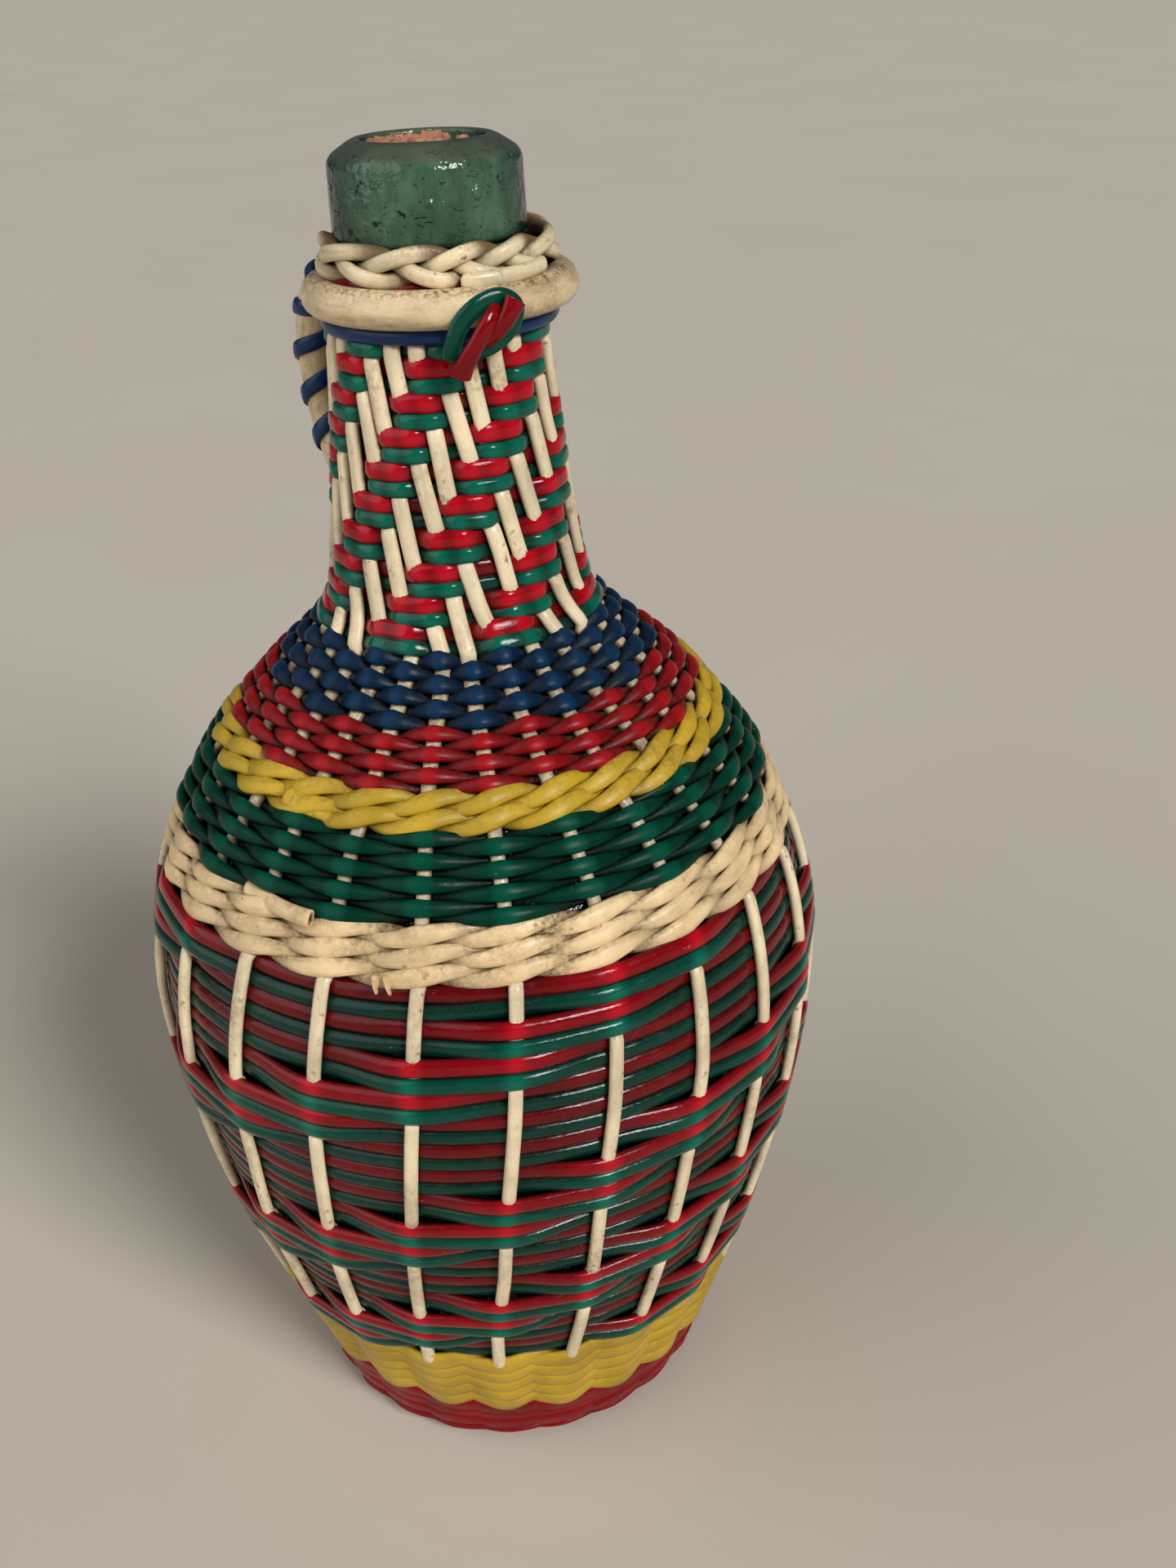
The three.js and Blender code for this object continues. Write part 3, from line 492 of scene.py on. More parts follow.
def set_light():
    bpy.context.scene.view_settings.view_transform = "Standard"
    world = bpy.data.worlds.new("room")
    bpy.context.scene.world = world
    world.use_nodes = True
    sky = world.node_tree.nodes["Background"]
    sky.inputs["Color"].default_value = SKY_COLOUR
    sky.inputs["Strength"].default_value = SKY_STRENGTH
    turn = Matrix.Rotation(math.radians(CAMERA_TURN_DEG), 4, "Z")
    for label, spot, spread_deg, strength in LAMPS:
        data = bpy.data.lights.new(label, "SUN")
        data.angle = math.radians(spread_deg)
        data.energy = strength
        lamp = bpy.data.objects.new(label, data)
        bpy.context.scene.collection.objects.link(lamp)
        place_at = turn @ Vector(spot)
        aim = Vector(LAMP_AIM) - place_at
        lamp.matrix_world = Matrix.Translation(place_at) @ aim.to_track_quat("-Z", "Y").to_matrix().to_4x4()


def set_floor():
    bpy.ops.object.select_all(action="DESELECT")
    bpy.ops.mesh.primitive_circle_add(vertices=96, radius=FLOOR_RADIUS_M, fill_type="NGON")
    floor = bpy.context.object
    floor.name = "floor"
    paint = Paint("pale floor")
    colour = paint.mix(paint.ramp(paint.noise(3), 0.3, 0.7), linear((194, 185, 170)), linear((197, 188, 174)))
    paint.link(colour, paint.shader.inputs["Base Color"])
    paint.shader.inputs["Roughness"].default_value = 0.75
    floor.data.materials.append(paint.material)


set_camera()
set_light()
set_floor()


# Turned pieces: a ring of points drawn along a profile
MERGE_M = 1e-6
SMOOTH_BELOW_DEG = 50


def turned(name, profile, segments):
    """One piece turned round the axis, with the small openings at both ends of its profile filled."""
    bpy.ops.object.select_all(action="DESELECT")
    radius, height = profile[0]
    bpy.ops.mesh.primitive_circle_add(vertices=segments, radius=radius * MM, location=(0, 0, height * MM))
    piece = bpy.context.object
    piece.name = piece.data.name = name
    bpy.ops.object.transform_apply(location=True, rotation=True, scale=True)
    bpy.ops.object.mode_set(mode="EDIT")
    bpy.ops.mesh.select_all(action="SELECT")
    for new_radius, new_height in profile[1:]:
        bpy.ops.mesh.extrude_region_move(
            TRANSFORM_OT_translate={"value": (0, 0, (new_height - height) * MM)})
        grow = new_radius / radius
        bpy.ops.transform.resize(value=(grow, grow, 1), center_override=(0, 0, new_height * MM))
        radius, height = new_radius, new_height
    bpy.ops.mesh.select_all(action="SELECT")
    bpy.ops.mesh.remove_doubles(threshold=MERGE_M)
    bpy.ops.mesh.select_all(action="DESELECT")
    bpy.ops.mesh.select_non_manifold()
    bpy.ops.mesh.fill_holes(sides=0)
    bpy.ops.mesh.select_all(action="SELECT")
    bpy.ops.mesh.normals_make_consistent(inside=False)
    bpy.ops.object.mode_set(mode="OBJECT")
    bpy.ops.object.shade_smooth_by_angle(angle=math.radians(SMOOTH_BELOW_DEG))
    return piece


def arc(centre, radius, start, end, steps):
    angles = np.radians(np.linspace(start, end, steps))
    return [(centre[0] + radius * math.cos(a), centre[1] + radius * math.sin(a)) for a in angles]


def make_glass():
    """Bottle with an outer and an inner wall, a pushed-up floor and an open bore."""
    outer_step, inner_step = 6, 14
    outer = WALL[::outer_step].tolist() + [WALL[-1].tolist()]
    outward = np.stack([WALL_SLOPE[:, 1], -WALL_SLOPE[:, 0]], 1)
    inner = (WALL - GLASS_WALL * outward)[HEEL_STEPS::inner_step].tolist()
    lip = [(LIP_RADIUS - 1.2, NECK_TOP_Z + 0.2),
           *arc((LIP_RADIUS - LIP_UNDER_ROUND, NECK_TOP_Z + 2), LIP_UNDER_ROUND, -60, 0, 5),
           (LIP_RADIUS, 306), (LIP_TOP_RADIUS + 0.1, 311),
           *arc((LIP_TOP_RADIUS - LIP_EDGE_ROUND, SLOPE_Z), LIP_EDGE_ROUND, 0, 62, 9),
           (17.2, 318.3), (15.6, 319.3), (14.4, 319.8), *arc((13.7, 319.0), 0.9, 75, 180, 6),
           (BORE_RADIUS, 316), (BORE_RADIUS, 308), (BORE_RADIUS, 303), (13.6, 301)]
    floor_in = [(36, 9.2), (18, 12.4), (0.5, 15.2)]
    floor_out = [(0.5, 11.8), (18, 9.8), (36, 5.6), (40, GLASS_FLOOR_Z)]
    profile = floor_out + outer + lip + inner[::-1] + floor_in
    glass = turned("glass_body", profile, segments=96)
    paint = Paint("bottle glass")
    stretch = node(paint.tree, "ShaderNodeMapping")
    stretch.inputs["Scale"].default_value = (1, 1, 0.3)
    paint.link(paint.object.outputs["Object"], stretch.inputs["Vector"])
    streaks = paint.ramp(paint.noise(260, 5, 0.65, stretch.outputs["Vector"]), 0.3, 0.7)
    colour = paint.mix(streaks, linear((66, 104, 80)), linear((98, 136, 108)))
    colour = paint.mix(paint.ramp(paint.noise(60, 4, 0.65), 0.35, 0.7, 0, 0.5), colour, linear((44, 70, 44)))
    # Painted shade: the glass darkens to teal towards its outline, where light would pass through more of it
    outline_shade = node(paint.tree, "ShaderNodeLayerWeight", in_Blend=0.42)
    colour = paint.mix(paint.ramp(outline_shade.outputs["Facing"], 0.2, 0.72), colour, linear((8, 46, 48)))
    specks = paint.ramp(paint.noise(330, 2), 0.66, 0.72)
    colour = paint.mix(specks, colour, linear((12, 22, 16)))
    # Painted reflection: faces turned up are painted paler and greyer, in patches
    top_reflection = paint.ramp(paint.facing_up(), 0.3, 0.8, 0, 0.6)
    top_reflection = paint.math("MULTIPLY", top_reflection, paint.ramp(paint.noise(90, 5, 0.7), 0.25, 0.6, 0.4, 1))
    colour = paint.mix(top_reflection, colour, linear((106, 106, 86)))
    height = node(paint.tree, "ShaderNodeSeparateXYZ")
    paint.link(paint.object.outputs["Object"], height.inputs[0])
    # Painted shade: the glass low on the neck, under the plait and collar, is painted nearly black
    shade_top_m, shade_low_m = 0.300, 0.292
    jacket_shade = paint.ramp(height.outputs["Z"], shade_top_m, shade_low_m)
    colour = paint.mix(jacket_shade, colour, linear((12, 20, 15)))
    paint.link(colour, paint.shader.inputs["Base Color"])
    paint.shader.inputs["IOR"].default_value = 1.4
    paint.shader.inputs["Transmission Weight"].default_value = 0.42
    paint.link(paint.ramp(paint.noise(120, 5, 0.7), 0.3, 0.75, 0.05, 0.2), paint.shader.inputs["Roughness"])
    bubbles = node(paint.tree, "ShaderNodeTexVoronoi", in_Scale=190)
    paint.link(paint.object.outputs["Object"], bubbles.inputs["Vector"])
    dents = paint.math("ADD", paint.math("MULTIPLY", paint.noise(140, 4, 0.6), 0.7),
                       paint.ramp(bubbles.outputs["Distance"], 0.1, 0.26, 0.3, 0))
    dents = paint.math("ADD", dents, paint.ramp(paint.noise(420, 2), 0.62, 0.68, 0, 0.5))
    paint.bump(dents, 0.75, 0.002)
    glass.data.materials.append(paint.material)
    return finish_piece(glass, ["glass_bottle"])


def make_cork():
    """Stopper broken off at the rim: crumbly lumps with a hole to one side."""
    radius, top, bottom = 12.35, 319.3, 297.8
    broken_depth = 1.5
    profile = [(radius - 0.9, bottom), (radius - 0.1, bottom + 12), (radius, top - 2.4),
               (radius * 0.97, top - 0.9), (radius * 0.9, top - 0.2), (radius * 0.74, top),
               (radius * 0.56, top), (radius * 0.38, top), (radius * 0.2, top), (0.4, top)]
    cork = turned("cork_stopper", profile, segments=72)
    bpy.ops.object.mode_set(mode="EDIT")
    bpy.ops.mesh.select_all(action="SELECT")
    bpy.ops.mesh.subdivide(number_cuts=2)
    bpy.ops.object.mode_set(mode="OBJECT")
    turn = math.radians(CAMERA_TURN_DEG)
    for v in cork.data.vertices:
        x, y, height = v.co / MM
        if height < top - broken_depth:
            continue
        side = x * math.cos(turn) + y * math.sin(turn)
        depth = y * math.cos(turn) - x * math.sin(turn)
        spot = Vector((side, depth, 0))
        ragged = 2.2 * noise.noise(spot * 0.4) + 1.2 * noise.noise(spot * 1.1)
        flakes = 0.55 * round(2.4 * noise.noise(spot * 0.45 + Vector((4, 9, 1))))
        flakes += 0.4 * noise.noise(spot * 1.3)
        hole = 3.6 * float(smooth((side + ragged - 4.4) / 0.9))
        chunk = 3.0 * float(smooth(2.5 * (1 - math.hypot((side + ragged - 8.3) / 1.6, (depth - 4.5) / 3))))
        cleft = 2.0 * float(smooth(2 * (1 - abs(side + ragged + 3.0) / 0.8)))
        fade = min(1.0, (radius - math.hypot(x, y)) / 1.2 + 0.25)
        v.co.z += (flakes - 0.1 - hole + chunk - cleft) * fade * MM
    paint = Paint("broken cork")
    body = paint.ramp(paint.noise(170, 6, 0.7), 0.3, 0.7)
    colour = paint.mix(body, linear((146, 94, 64)), linear((198, 144, 106)))
    pores = paint.ramp(paint.noise(260, 5, 0.65), 0.57, 0.68, 0, 0.8)
    colour = paint.mix(pores, colour, linear((58, 34, 22)))
    geometry = node(paint.tree, "ShaderNodeSeparateXYZ")
    paint.link(paint.object.outputs["Object"], geometry.inputs[0])
    sunk = paint.ramp(geometry.outputs["Z"], (top - 0.4) * MM, (top - broken_depth) * MM)
    flat = node(paint.tree, "ShaderNodeVectorMath", operation="MULTIPLY")
    flat.inputs[1].default_value = (1, 1, 0)
    paint.link(paint.object.outputs["Object"], flat.inputs[0])
    reach = node(paint.tree, "ShaderNodeVectorMath", operation="LENGTH")
    paint.link(flat.outputs["Vector"], reach.inputs[0])
    inside = paint.ramp(reach.outputs["Value"], (radius - 1.0) * MM, (radius - 1.6) * MM)
    # Painted shade: the sunken middle of the broken top is painted dark
    colour = paint.mix(paint.math("MULTIPLY", sunk, inside), colour, linear((38, 24, 17)))
    soaked = paint.ramp(geometry.outputs["Z"], (top - 1) * MM, bottom * MM, 0.45, 0.85)
    soaked = paint.math("MULTIPLY", soaked, paint.ramp(inside, 1, 0))
    colour = paint.mix(paint.math("MULTIPLY", soaked, sunk), colour, linear((64, 34, 26)))
    paint.link(colour, paint.shader.inputs["Base Color"])
    paint.shader.inputs["Roughness"].default_value = 0.9
    paint.bump(paint.noise(420, 5, 0.7), 0.7, 0.0012)
    cork.data.materials.append(paint.material)
    return finish_piece(cork, ["cork"], "cork")


make_glass()
make_cork()


# Woven cords
def row_crossings(top, pitch, turns, shares, first=1):
    """Crossings of one wound cord with the stakes: level rows, and a step down a row behind the handle.

    shares is where in its row the cord lies. Both ends run on past the last stake and tuck in there.
    """
    stakes = np.arange(LAST_STAKE, FIRST_STAKE - 1, -1)
    rows = np.concatenate([[first], np.repeat(np.arange(first, turns + 1), len(stakes)), [turns]])
    ks = np.concatenate([[LAST_STAKE + TUCK], np.tile(stakes, turns + 1 - first), [FIRST_STAKE - TUCK]])
    s = top - pitch * (rows - 1 + shares)
    azimuth = np.array([stake_azimuth(k, at) for k, at in zip(ks, s)]) - 2 * math.pi * (rows - 1)
    return ks, rows, s, azimuth


def spread(values, steps, ease=True, late=0.0):
    """Values between crossings, eased from each to the next. late keeps them low near a low crossing."""
    t = np.linspace(0, 1, steps, endpoint=False)
    step = (values[1:] - values[:-1])[:, None]
    if ease:
        t = smooth(np.where(step > 0, t * (1 + late) - late, t * (1 + late)))
    between = values[:-1, None] + step * t
    return np.append(between.ravel(), values[-1])


def wobble(count, size, length):
    """Small random wander along a cord, with one draw to each length of steps."""
    knots = rng.normal(0, size, max(4, count // length) + 2)
    return np.interp(np.linspace(0, len(knots) - 1, count), np.arange(len(knots)), knots)


def stake_spacing(s):
    """Spacing of the stakes along each stretch of a cord, as a column."""
    return (on_wall(s[:-1])[0] * 2 * math.pi / STAKE_COUNT)[:, None]


WEFT_WOBBLE, WEFT_LATE = 0.12, 0.12
WEFT_RISE, WEFT_RISE_BY_LIFT = 0.36, 0.085
GLOW_REACH = 2.1


def weft(top, bottom, turns, share, width, lift_over, hides, drop, sag, steps, power, first):
    """One wound cord that goes over the stakes it hides and under the others.

    drop moves the first and the second row of a pair down where it goes over, sag lets it in between two such
    stakes, and power squares its section.
    """
    pitch = (top - bottom) / turns
    ks, rows, s, azimuth = row_crossings(top, pitch, turns, share, first)
    over = np.array([hides(k, r) for k, r in zip(ks, rows)])
    lower = np.array([hides(k, r - 1) for k, r in zip(ks, rows)]) & over
    s = s - np.where(over, np.where(lower, drop[1], drop[0]), 0)
    lift = np.where(over, lift_over, LIFT_UNDER)
    t = np.linspace(0, 1, steps, endpoint=False)
    both = np.append((over[:-1] & over[1:])[:, None] * (4 * t * (1 - t)), 0)
    path_s = spread(s, steps) + wobble((len(s) - 1) * steps + 1, WEFT_WOBBLE, steps)
    path_lift = spread(lift, steps, late=WEFT_LATE) - sag * both
    path_azimuth = spread(azimuth, steps, ease=False)
    spacing = stake_spacing(s)
    glow = (np.where(over[:-1, None], np.exp(-(t * spacing / GLOW_REACH) ** 2), 0)
            + np.where(over[1:, None], np.exp(-((1 - t) * spacing / GLOW_REACH) ** 2), 0))
    rise = JACKET * (WEFT_RISE + WEFT_RISE_BY_LIFT * path_lift)
    points, out = place(path_s, path_azimuth, path_lift)
    return tube(points, out, width, CORD_THICKNESS, rise, np.append(glow, 0), power=power)


NECK_WEAVE = dict(top=NECK_TOP_LEVEL, bottom=SHOULDER_LEVEL, turns=NECK_TURNS, lift_over=NECK_LIFT_OVER,
                  hides=neck_hides, drop=(0, 0), sag=0.0, steps=8, power=0.72)
BELLY_WEAVE = dict(top=CREAM_LEVEL, bottom=FOOT_LEVEL, turns=BELLY_TURNS, lift_over=BELLY_LIFT_OVER,
                   hides=belly_hides, drop=(0.3, 0.1), sag=0.5, steps=12, power=0.86)
RED_SHARE, GREEN_SHARE = 0.25, 0.78

# The neck's green cord starts a row above the others
for prefix, colour, weave, share, width, material, first in (
    ("neck", "red", NECK_WEAVE, RED_SHARE, 4.4, RED, 1),
    ("neck", "green", NECK_WEAVE, GREEN_SHARE, 3.6, GREEN, 0),
    ("belly", "red", BELLY_WEAVE, RED_SHARE, 4.3, RED, 1),
    ("belly", "green", BELLY_WEAVE, GREEN_SHARE, 4.0, GREEN, 1),
):
    path = weft(share=share, width=width, first=first, **weave)
    cord_piece(f"{prefix}_{colour}_rows", [path], material, [f"{prefix}_{colour}_weft"])


MID_ROW = 0.5
PLAIN_LIFT, PLAIN_LIFT_OVER = 0.95, 3.4
PLAIN_THIN, PLAIN_POINT = 0.35, 0.85
PLAIN_THICKNESS, PLAIN_SWELL = 1.4, 1.0
GLOW_FROM, GLOW_GAIN = 0.9, 10


def plain_band(band, plump):
    """One cord wound over and under each stake in turn, row on row. plump is its full width in rows."""
    width, turns = BANDS[band]
    pitch = width / turns
    steps = 10
    _, _, s, azimuth = row_crossings(BAND_TOP[band], pitch, turns, MID_ROW)
    over = (np.arange(len(s)) % 2) == 1
    share = spread(over.astype(float), steps)
    lens = spread(over.astype(float), steps, ease=False) ** PLAIN_POINT
    lift = PLAIN_LIFT + PLAIN_LIFT_OVER * share
    points, out = place(spread(s, steps), spread(azimuth, steps, ease=False), lift)
    glow = np.clip(share - GLOW_FROM, 0, 1) * GLOW_GAIN
    thin, full = PLAIN_THIN * pitch, plump * pitch
    thickness = PLAIN_THICKNESS + PLAIN_SWELL * share
    return tube(points, out, thin + (full - thin) * lens, thickness, lift, glow)


for band, material, plump in (
    ("blue", DUSTY_BLUE, 1.6), ("red", DUSTY_RED, 1.72), ("green", DUSTY_GREEN, 1.72)
):
    path = plain_band(band, plump)
    cord_piece(f"shoulder_{band}_rows", [path], material, [f"shoulder_{band}_weft"])


HEEL_LIFT, HEEL_LIFT_FROM, HEEL_LIFT_FADE = 1.0, 11, 8
TWINE_THIN, TWINE_FULL, TWINE_BULGE_POINT = 0.3, 0.7, 0.75
TWINE_SWELL = 0.7
TWINE_RISE, TWINE_RISE_OVER = 0.4, 0.42


def twined_band(top, bottom, turns, cord, low=1.25, depth=1.6, swing=0.27, bulge=0.0, tilt=0.0, point=0.8,
                flat=1.7):
    """Two cords twisted round each other, a half turn to each stake. bulge swells the rows over the stakes.

    The rows stand further out under the heel, and tilt slants those about the middle of the foot.
    """
    pitch = (top - bottom) / turns
    steps = 12
    _, _, s, azimuth = row_crossings(top, pitch, turns, MID_ROW)
    run = np.arange((len(s) - 1) * steps + 1) / steps
    path_azimuth = spread(azimuth, steps, ease=False)
    row_s = spread(s, steps)
    share = np.clip((row_s - FOOT_END) / (FOOT_SPLIT - FOOT_END), 0, 1)
    share *= np.clip((FOOT_LEVEL - row_s) / (FOOT_LEVEL - FOOT_SPLIT), 0, 1)
    heel = HEEL_LIFT * smooth((HEEL_LIFT_FROM - row_s) / HEEL_LIFT_FADE)
    skew = tilt * np.sin(path_azimuth - math.radians(CAMERA_TURN_DEG)) * share
    strands = []
    for strand in range(2):
        twist = math.pi * (strand - run)
        over = 0.5 + 0.5 * np.cos(twist)
        lift = low + 2 * depth * over + bulge * np.cos(math.pi * run) ** 2 + heel
        path_s = row_s + swing * pitch * np.sin(twist) - skew
        points, out = place(path_s, path_azimuth, lift)
        lens = np.abs((run - strand) % 2 - 1) ** point
        taper = TWINE_THIN + TWINE_FULL * (lens if bulge == 0 else over ** TWINE_BULGE_POINT)
        rise = JACKET * (TWINE_RISE + TWINE_RISE_OVER * over)
        strands.append(tube(points, out, cord * taper, flat + TWINE_SWELL * over, rise))
    return strands


END_STEPS, END_THICKNESS = 24, 2.3


def loose_end(start_deg, end_deg, start_s, end_s, lifts, widths, **ends):
    """Short end of a cord lying on the jacket, measured round from the front."""
    share = np.linspace(0, 1, END_STEPS)
    azimuth = np.radians(CAMERA_TURN_DEG + start_deg + (end_deg - start_deg) * share)
    lift = lifts[0] + (lifts[1] - lifts[0]) * smooth(share)
    points, out = place(start_s + (end_s - start_s) * share, azimuth, lift)
    width = widths[0] + (widths[1] - widths[0]) * share ** 2
    return tube(points, out, width, END_THICKNESS, sides=FINE_SIDES, **ends)


YELLOW_ROW, CREAM_ROW = BAND_TOP["green"] + 2.6, BAND_TOP["cream"] - 0.6
yellow_end = loose_end(-43.5, -31, YELLOW_ROW + 0.4, YELLOW_ROW - 1.6, (4.9, 2.6), (4.3, 1.8),
                       ends=(0.04, 0.5))
yellow_rows = twined_band(BAND_TOP["yellow"], BAND_TOP["green"], BANDS["yellow"][1], 4.5, swing=0.36)
cord_piece("shoulder_yellow_rope", yellow_rows + [yellow_end], YELLOW,
           ["shoulder_yellow_twist"])
cream_end = loose_end(-47, -30, CREAM_ROW + 0.8, CREAM_ROW - 0.2, (2.6, 6.4), (3.6, 4.0), hollow=True)
torn = [loose_end(-18.6 + n, -18.2 + 1.1 * n, CREAM_LEVEL + 1.3, CREAM_LEVEL - 0.4, (4.4, 5.4), (1.4, 0.4))
        for n in (0, 1.9)]
cream_rows = twined_band(BAND_TOP["cream"], CREAM_LEVEL, BANDS["cream"][1], 4.8, depth=1.4, swing=0.28,
                         point=1.0, flat=1.3)
cord_piece("shoulder_cream_rows", cream_rows + [cream_end] + torn, CREAM,
           ["shoulder_cream_twine"])

FOOT_YELLOW_TURNS, FOOT_RED_TURNS, FOOT_TILT = 5, 4, 4.0
foot_yellow = twined_band(FOOT_LEVEL, FOOT_SPLIT, FOOT_YELLOW_TURNS, 7.8, low=1.7, depth=0.6, swing=0.15,
                          bulge=1.0, tilt=FOOT_TILT)
cord_piece("foot_yellow_rows", foot_yellow, CLEAN_YELLOW, ["foot_yellow_weft"])
foot_red = twined_band(FOOT_SPLIT, FOOT_END, FOOT_RED_TURNS, 8.6, low=2.4, depth=0.35, swing=0.1,
                       tilt=FOOT_TILT)
cord_piece("foot_red_rows", foot_red, FOOT_RED, ["foot_red_weft"])

STAKE_STEP, STAKE_TOP_LIFT, STAKE_COVER = 1.1, 1.5, 4.4
STAKE_WANDER, STAKE_WANDER_STEPS = 0.4, 24
# A stake sinks by this much just before it goes under
STAKE_DIP = 0.8
# Where a stake goes in under the foot's rows, as drops from their top and lifts, and where it ends
STAKE_FOOT, STAKE_END = ((2.2, 3.6), (5.5, 1.2)), (8, 1.0)
STAKE_NARROWING = 60
# How far a stake's rise drops in the shoulder bands, which gives it painted shade and dust there, and over
# how long that fades in
STAKE_RISE, STAKE_SHADE_AND_DUST, SHADE_AND_DUST_FADE = 1.2, 1.25, 3


def make_stakes():
    """Upright stakes, each shown or hidden row by row as the weft leaves it."""
    for k in range(FIRST_STAKE, LAST_STAKE + 1):
        knots = [(STAKE_TOP_LEVEL, STAKE_TOP_LIFT), (NECK_TOP_LEVEL + STAKE_COVER, STAKE_UNDER)]
        for high, low, turns, hides, shown in (
            (NECK_TOP_LEVEL, SHOULDER_LEVEL, NECK_TURNS, neck_hides, NECK_STAKE_OVER),
            (CREAM_LEVEL, FOOT_LEVEL, BELLY_TURNS, belly_hides, BELLY_STAKE_OVER),
        ):
            pitch = (high - low) / turns
            if high == CREAM_LEVEL:
                knots += [(SHOULDER_LEVEL - 1, STAKE_BAND), (CREAM_LEVEL + 1, STAKE_BAND)]
            for row in range(0 if high == NECK_TOP_LEVEL else 1, turns + 1):
                first = hides(k, row) and not hides(k, row - 1)
                for share in (0.25, 0.75):
                    lift = STAKE_UNDER if hides(k, row) else shown
                    if first and share < 0.5:
                        lift = shown - STAKE_DIP
                    if row > 0 or share > 0.5:
                        knots.append((high - pitch * (row - 1 + share), lift))
        knots += [(FOOT_LEVEL - below, lift) for below, lift in STAKE_FOOT] + [STAKE_END]
        at, lifts = np.array(knots).T
        s = np.arange(at[0], at[-1], -STAKE_STEP)
        index = np.clip(np.searchsorted(-at, -s, side="right") - 1, 0, len(at) - 2)
        t = (s - at[index]) / (at[index + 1] - at[index])
        # It goes under late and comes up early
        change = lifts[index + 1] - lifts[index]
        lift = lifts[index] + change * smooth(np.where(change < 0, t * 3 - 2, t * 1.25))
        narrow = smooth((SHOULDER_LEVEL - s) / STAKE_NARROWING)
        width = NECK_STAKE_WIDTH + (BELLY_STAKE_WIDTH - NECK_STAKE_WIDTH) * narrow
        wander = wobble(len(s), STAKE_WANDER, STAKE_WANDER_STEPS)
        azimuth = stake_azimuth(k, s) + wander / np.maximum(on_wall(s)[0], 20)
        points, out = place(s, azimuth, lift)
        # Painted shade and dust on the stakes between the shoulder bands' bumps, by lowering their rise
        shade_and_dust = smooth((SHOULDER_LEVEL - s) / SHADE_AND_DUST_FADE) * smooth((s - CREAM_LEVEL) / SHADE_AND_DUST_FADE)
        parts = [tube(points, out, width, STAKE_THICKNESS, lift + STAKE_RISE - STAKE_SHADE_AND_DUST * shade_and_dust)]
        number = k % STAKE_COUNT + 1
        cord_piece(f"upright_stake_{number:02d}", parts, STAKE_CREAM, [f"stake_{number:02d}"])


make_stakes()


# Collar, handle, lashing, rings, plait and knot
HANDLE_ROOT, HANDLE_REACH, HANDLE_FOOT = 26.3, 18, 28.3
HANDLE_TOP_Z, HANDLE_DROP = 289.2, 46
STRAP_SIDE = 4.4
# The collar and the plait sit a little off the axis
COLLAR_SLIP = 1.2
SLIP_TURN = math.radians(CAMERA_TURN_DEG)
SLIP = np.array([math.cos(SLIP_TURN), math.sin(SLIP_TURN), 0]) * COLLAR_SLIP


def handle_points(side):
    """One strap of the handle, from the collar out, down and in to the neck's jacket."""
    shape = [(0.28, 0), (0.68, 0.06), (0.95, 0.24), (1, 0.46), (0.86, 0.73), (0.58, 0.95), (0.28, 1)]
    line = [(HANDLE_ROOT + HANDLE_REACH * reach, HANDLE_TOP_Z - HANDLE_DROP * drop) for reach, drop in shape]
    return np.array([(-reach, -side, z) for reach, z in line + [(HANDLE_FOOT, HANDLE_TOP_Z - HANDLE_DROP)]])


def make_collar():
    """One length of tube: up one strap, round the neck and down the other strap."""
    gap_deg = 24
    ring = np.radians(np.linspace(HANDLE_DEG + gap_deg, HANDLE_DEG + 360 - gap_deg, 17))
    path = np.concatenate([handle_points(STRAP_SIDE)[::-1], polar(COLLAR_RADIUS, ring, COLLAR_Z) + SLIP,
                           handle_points(-STRAP_SIDE)])
    line = through(path, 260)
    axis = line * [1, 1, 0]
    reach = np.linalg.norm(axis, axis=1)
    out = axis / reach[:, None] + [0, 0, 0.35]
    strap = np.maximum(smooth((reach - COLLAR_RADIUS - 2.5) / 4), smooth((COLLAR_Z - 4 - line[:, 2]) / 4))
    rise = JACKET * (1 + 0.6 * strap)
    cord_piece("collar_and_handle", [tube(line, out, TUBE, TUBE, rise, sides=20, ends=(0.1, 0.1))],
               TUBE_CREAM, ["collar_handle_tube"])


def make_lashing():
    """Flat cord wound slantwise round both straps of the handle."""
    turns, per_turn = 5, 48
    width, thickness = 3.7, 1.4
    start, span = 0.01, 0.82
    line = through(handle_points(0), 400)
    last = len(line) - 1
    reach = TUBE / 2 + thickness / 2
    straight, bend = 2 * STRAP_SIDE, math.pi * reach
    total = 2 * (straight + bend)
    corners = [0, bend, bend + straight, 2 * bend + straight, total]
    side = np.array([0.0, -1.0, 0.0])
    points, out = [], []
    for i in range(turns * per_turn + 1):
        lap, run = i // per_turn, i % per_turn / per_turn * total
        advance = np.interp(run, corners, [0, 0.6, 0.7, 0.85, 1])
        n = int(last * (start + span * (lap + advance) / turns))
        along = line[min(n + 2, last)] - line[max(n - 2, 0)]
        outward = np.cross(along / np.linalg.norm(along), side)
        if run < bend:
            angle, spot = run / reach - math.pi / 2, STRAP_SIDE
        elif run < bend + straight:
            angle, spot = math.pi / 2, STRAP_SIDE - (run - bend)
        elif run < 2 * bend + straight:
            angle, spot = (run - bend - straight) / reach + math.pi / 2, -STRAP_SIDE
        else:
            angle, spot = -math.pi / 2, run - 2 * bend - straight - STRAP_SIDE
        normal = side * math.cos(angle) + outward * math.sin(angle)
        points.append(line[n] + side * spot + normal * reach)
        out.append(normal)
    points = np.array(points)
    for _ in range(3):
        points[1:-1] = (points[:-2] + 2 * points[1:-1] + points[2:]) / 4
    lashing = tube(points, out, width, thickness)
    cord_piece("handle_lashing", [lashing], BLUE, ["handle_blue_lashing"])


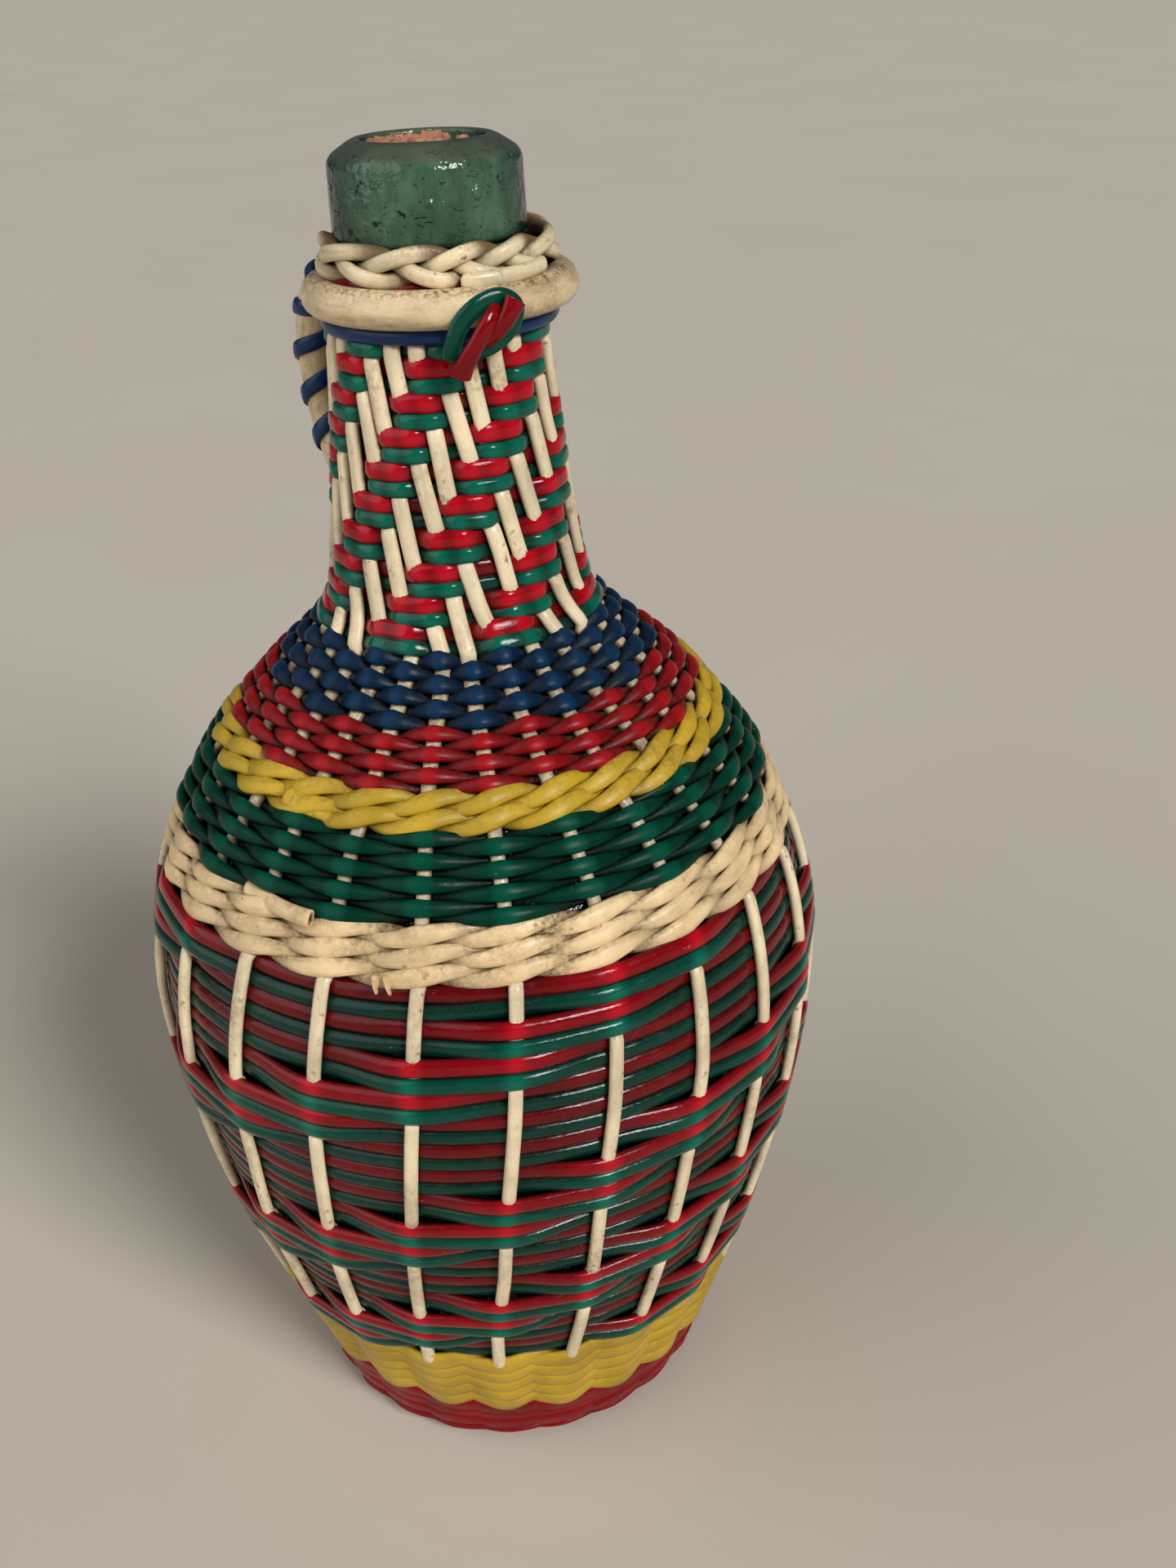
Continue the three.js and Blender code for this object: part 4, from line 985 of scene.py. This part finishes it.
def make_rings():
    gap_deg, thickness, slip_share = 8, 2.8, 0.6
    turn = np.radians(np.linspace(HANDLE_DEG + gap_deg, HANDLE_DEG + 360 - gap_deg, 160))
    for name, z, radius, height, material, colour, node_name in (
        ("neck_ring_red", 293.2, 21.8, 3.6, RED, "red", "neck_red_cord"),
        ("collar_ring_blue", 284.6, 24.0, 3.6, BLUE, "blue", "collar_blue_cord"),
    ):
        points = polar(radius, turn, z) + SLIP * slip_share
        ring = tube(points, polar(1, turn, 0), height, thickness, JACKET)
        cord_piece(name, [ring], material, [node_name])


def make_plait():
    """Three strands plaited into a ring; the third has its loose end along the front."""
    waves, steps, turn_deg = 3.45, 240, 354
    uneven, uneven_waves = 0.5, 2.2
    radius, depth = 22.9, 1.5
    middle_z, half_height = 297.8, 2.6
    width, thickness = 3.35, 2.6
    for strand in range(3):
        share = np.linspace(0, 1, steps)
        turn = math.radians(HANDLE_DEG) + share * math.radians(turn_deg)
        phase = 2 * math.pi * (waves * share + strand / 3)
        phase += uneven * np.sin(2 * math.pi * uneven_waves * share)
        over = np.sin(2 * phase)
        points = polar(radius + depth * over, turn, middle_z + half_height * np.sin(phase)) + SLIP
        rise = JACKET * (0.6 + 0.28 * over)
        parts = [tube(points, polar(1, turn, 0), width, thickness, rise, sides=FINE_SIDES)]
        if strand == 2:
            share = np.linspace(0, 1, 40)
            turn = np.radians(CAMERA_TURN_DEG + 12 + 44 * share)
            points = polar(25.0 + 0.8 * np.sin(math.pi * share), turn, 294.9 + 0.8 * share) + SLIP
            parts.append(tube(points, polar(1, turn, 0), 3.3, 2.5, sides=FINE_SIDES, ends=(0.5, 0.04)))
        cord_piece(f"plait_strand_{strand + 1}", parts, PLAIT_CREAM,
                   [f"neck_plait_strand_{strand + 1}"])


def make_knot():
    """Two red ends in a green loop, as places sideways, out and up from a point on the collar's face."""
    steps, thickness = 70, 2.3
    azimuth = math.radians(73)
    face = COLLAR_RADIUS + TUBE / 2 + 1.2
    straight_out = polar(1, azimuth, 0)
    sideways = polar(1, azimuth + math.pi / 2, 0)
    green = [(-7.9, -3.2, -8.9), (-7.8, -1.8, -5.9), (-6.4, -0.8, -2.2), (-3.8, -0.1, 0.6), (-0.4, -0.1, 2.1),
             (2.6, -0.1, 2.2), (4.9, 0.0, 0.2), (4.3, -0.5, -2.8), (2.4, -0.8, -5.2), (-0.4, -1.6, -7.1),
             (-3.2, -2.6, -8.0)]
    red_low = [(-7.0, -1.6, -12.4), (-5.9, 0.2, -9.1), (-4.3, 1.7, -5.8), (-2.5, 2.3, -2.9),
               (-0.8, 1.9, -0.9), (0.8, 0.9, 0.2)]
    red_high = [(4.2, 2.6, 2.0), (2.1, 2.9, -1.2), (0.1, 1.6, -3.8), (-1.8, 0.1, -5.6)]
    for colour, paths, material, width, flare in (
        ("green", (green,), GREEN, 3.9, 0), ("red", (red_low, red_high), RED, 3.3, 1.4)
    ):
        parts = []
        for path in paths:
            spots = [straight_out * (face + off) + sideways * x + [0, 0, COLLAR_Z + z] + SLIP
                     for x, off, z in path]
            line = through(spots, steps)
            out = np.tile(straight_out, (len(line), 1))
            widths = width + flare * (1 - np.linspace(0, 1, steps)) ** 3
            parts.append(tube(line, out, widths, thickness, sides=FINE_SIDES, ends=(0.06, 0.3)))
        cord_piece(f"knot_{colour}_ends", parts, material, [f"knot_{colour}_cord"])


make_collar()
make_lashing()
make_rings()
make_plait()
make_knot()


def make_base():
    """Flat spiral of red cord under the bottle, which waves as if over and under short spokes."""
    turns, steps = 12, 5
    outside, inside = 48.5, 3.0
    middle_z, wave_height = 2.4, 0.75
    width, thickness = 3.9, 3.0
    count = turns * STAKE_COUNT * steps
    n = np.arange(count + 1)
    turn = 2 * math.pi * turns * n / count
    radius = outside - (outside - inside) * n / count
    z = middle_z + wave_height * np.cos(math.pi * n / steps)
    points = polar(radius, turn, z)
    down = np.tile([0.0, 0.0, -1.0], (len(n), 1))
    spiral = tube(points, down, width, thickness, rise=3.0, sides=8)
    cord_piece("base_spiral", [spiral], FOOT_RED, ["base_weave"])


make_base()
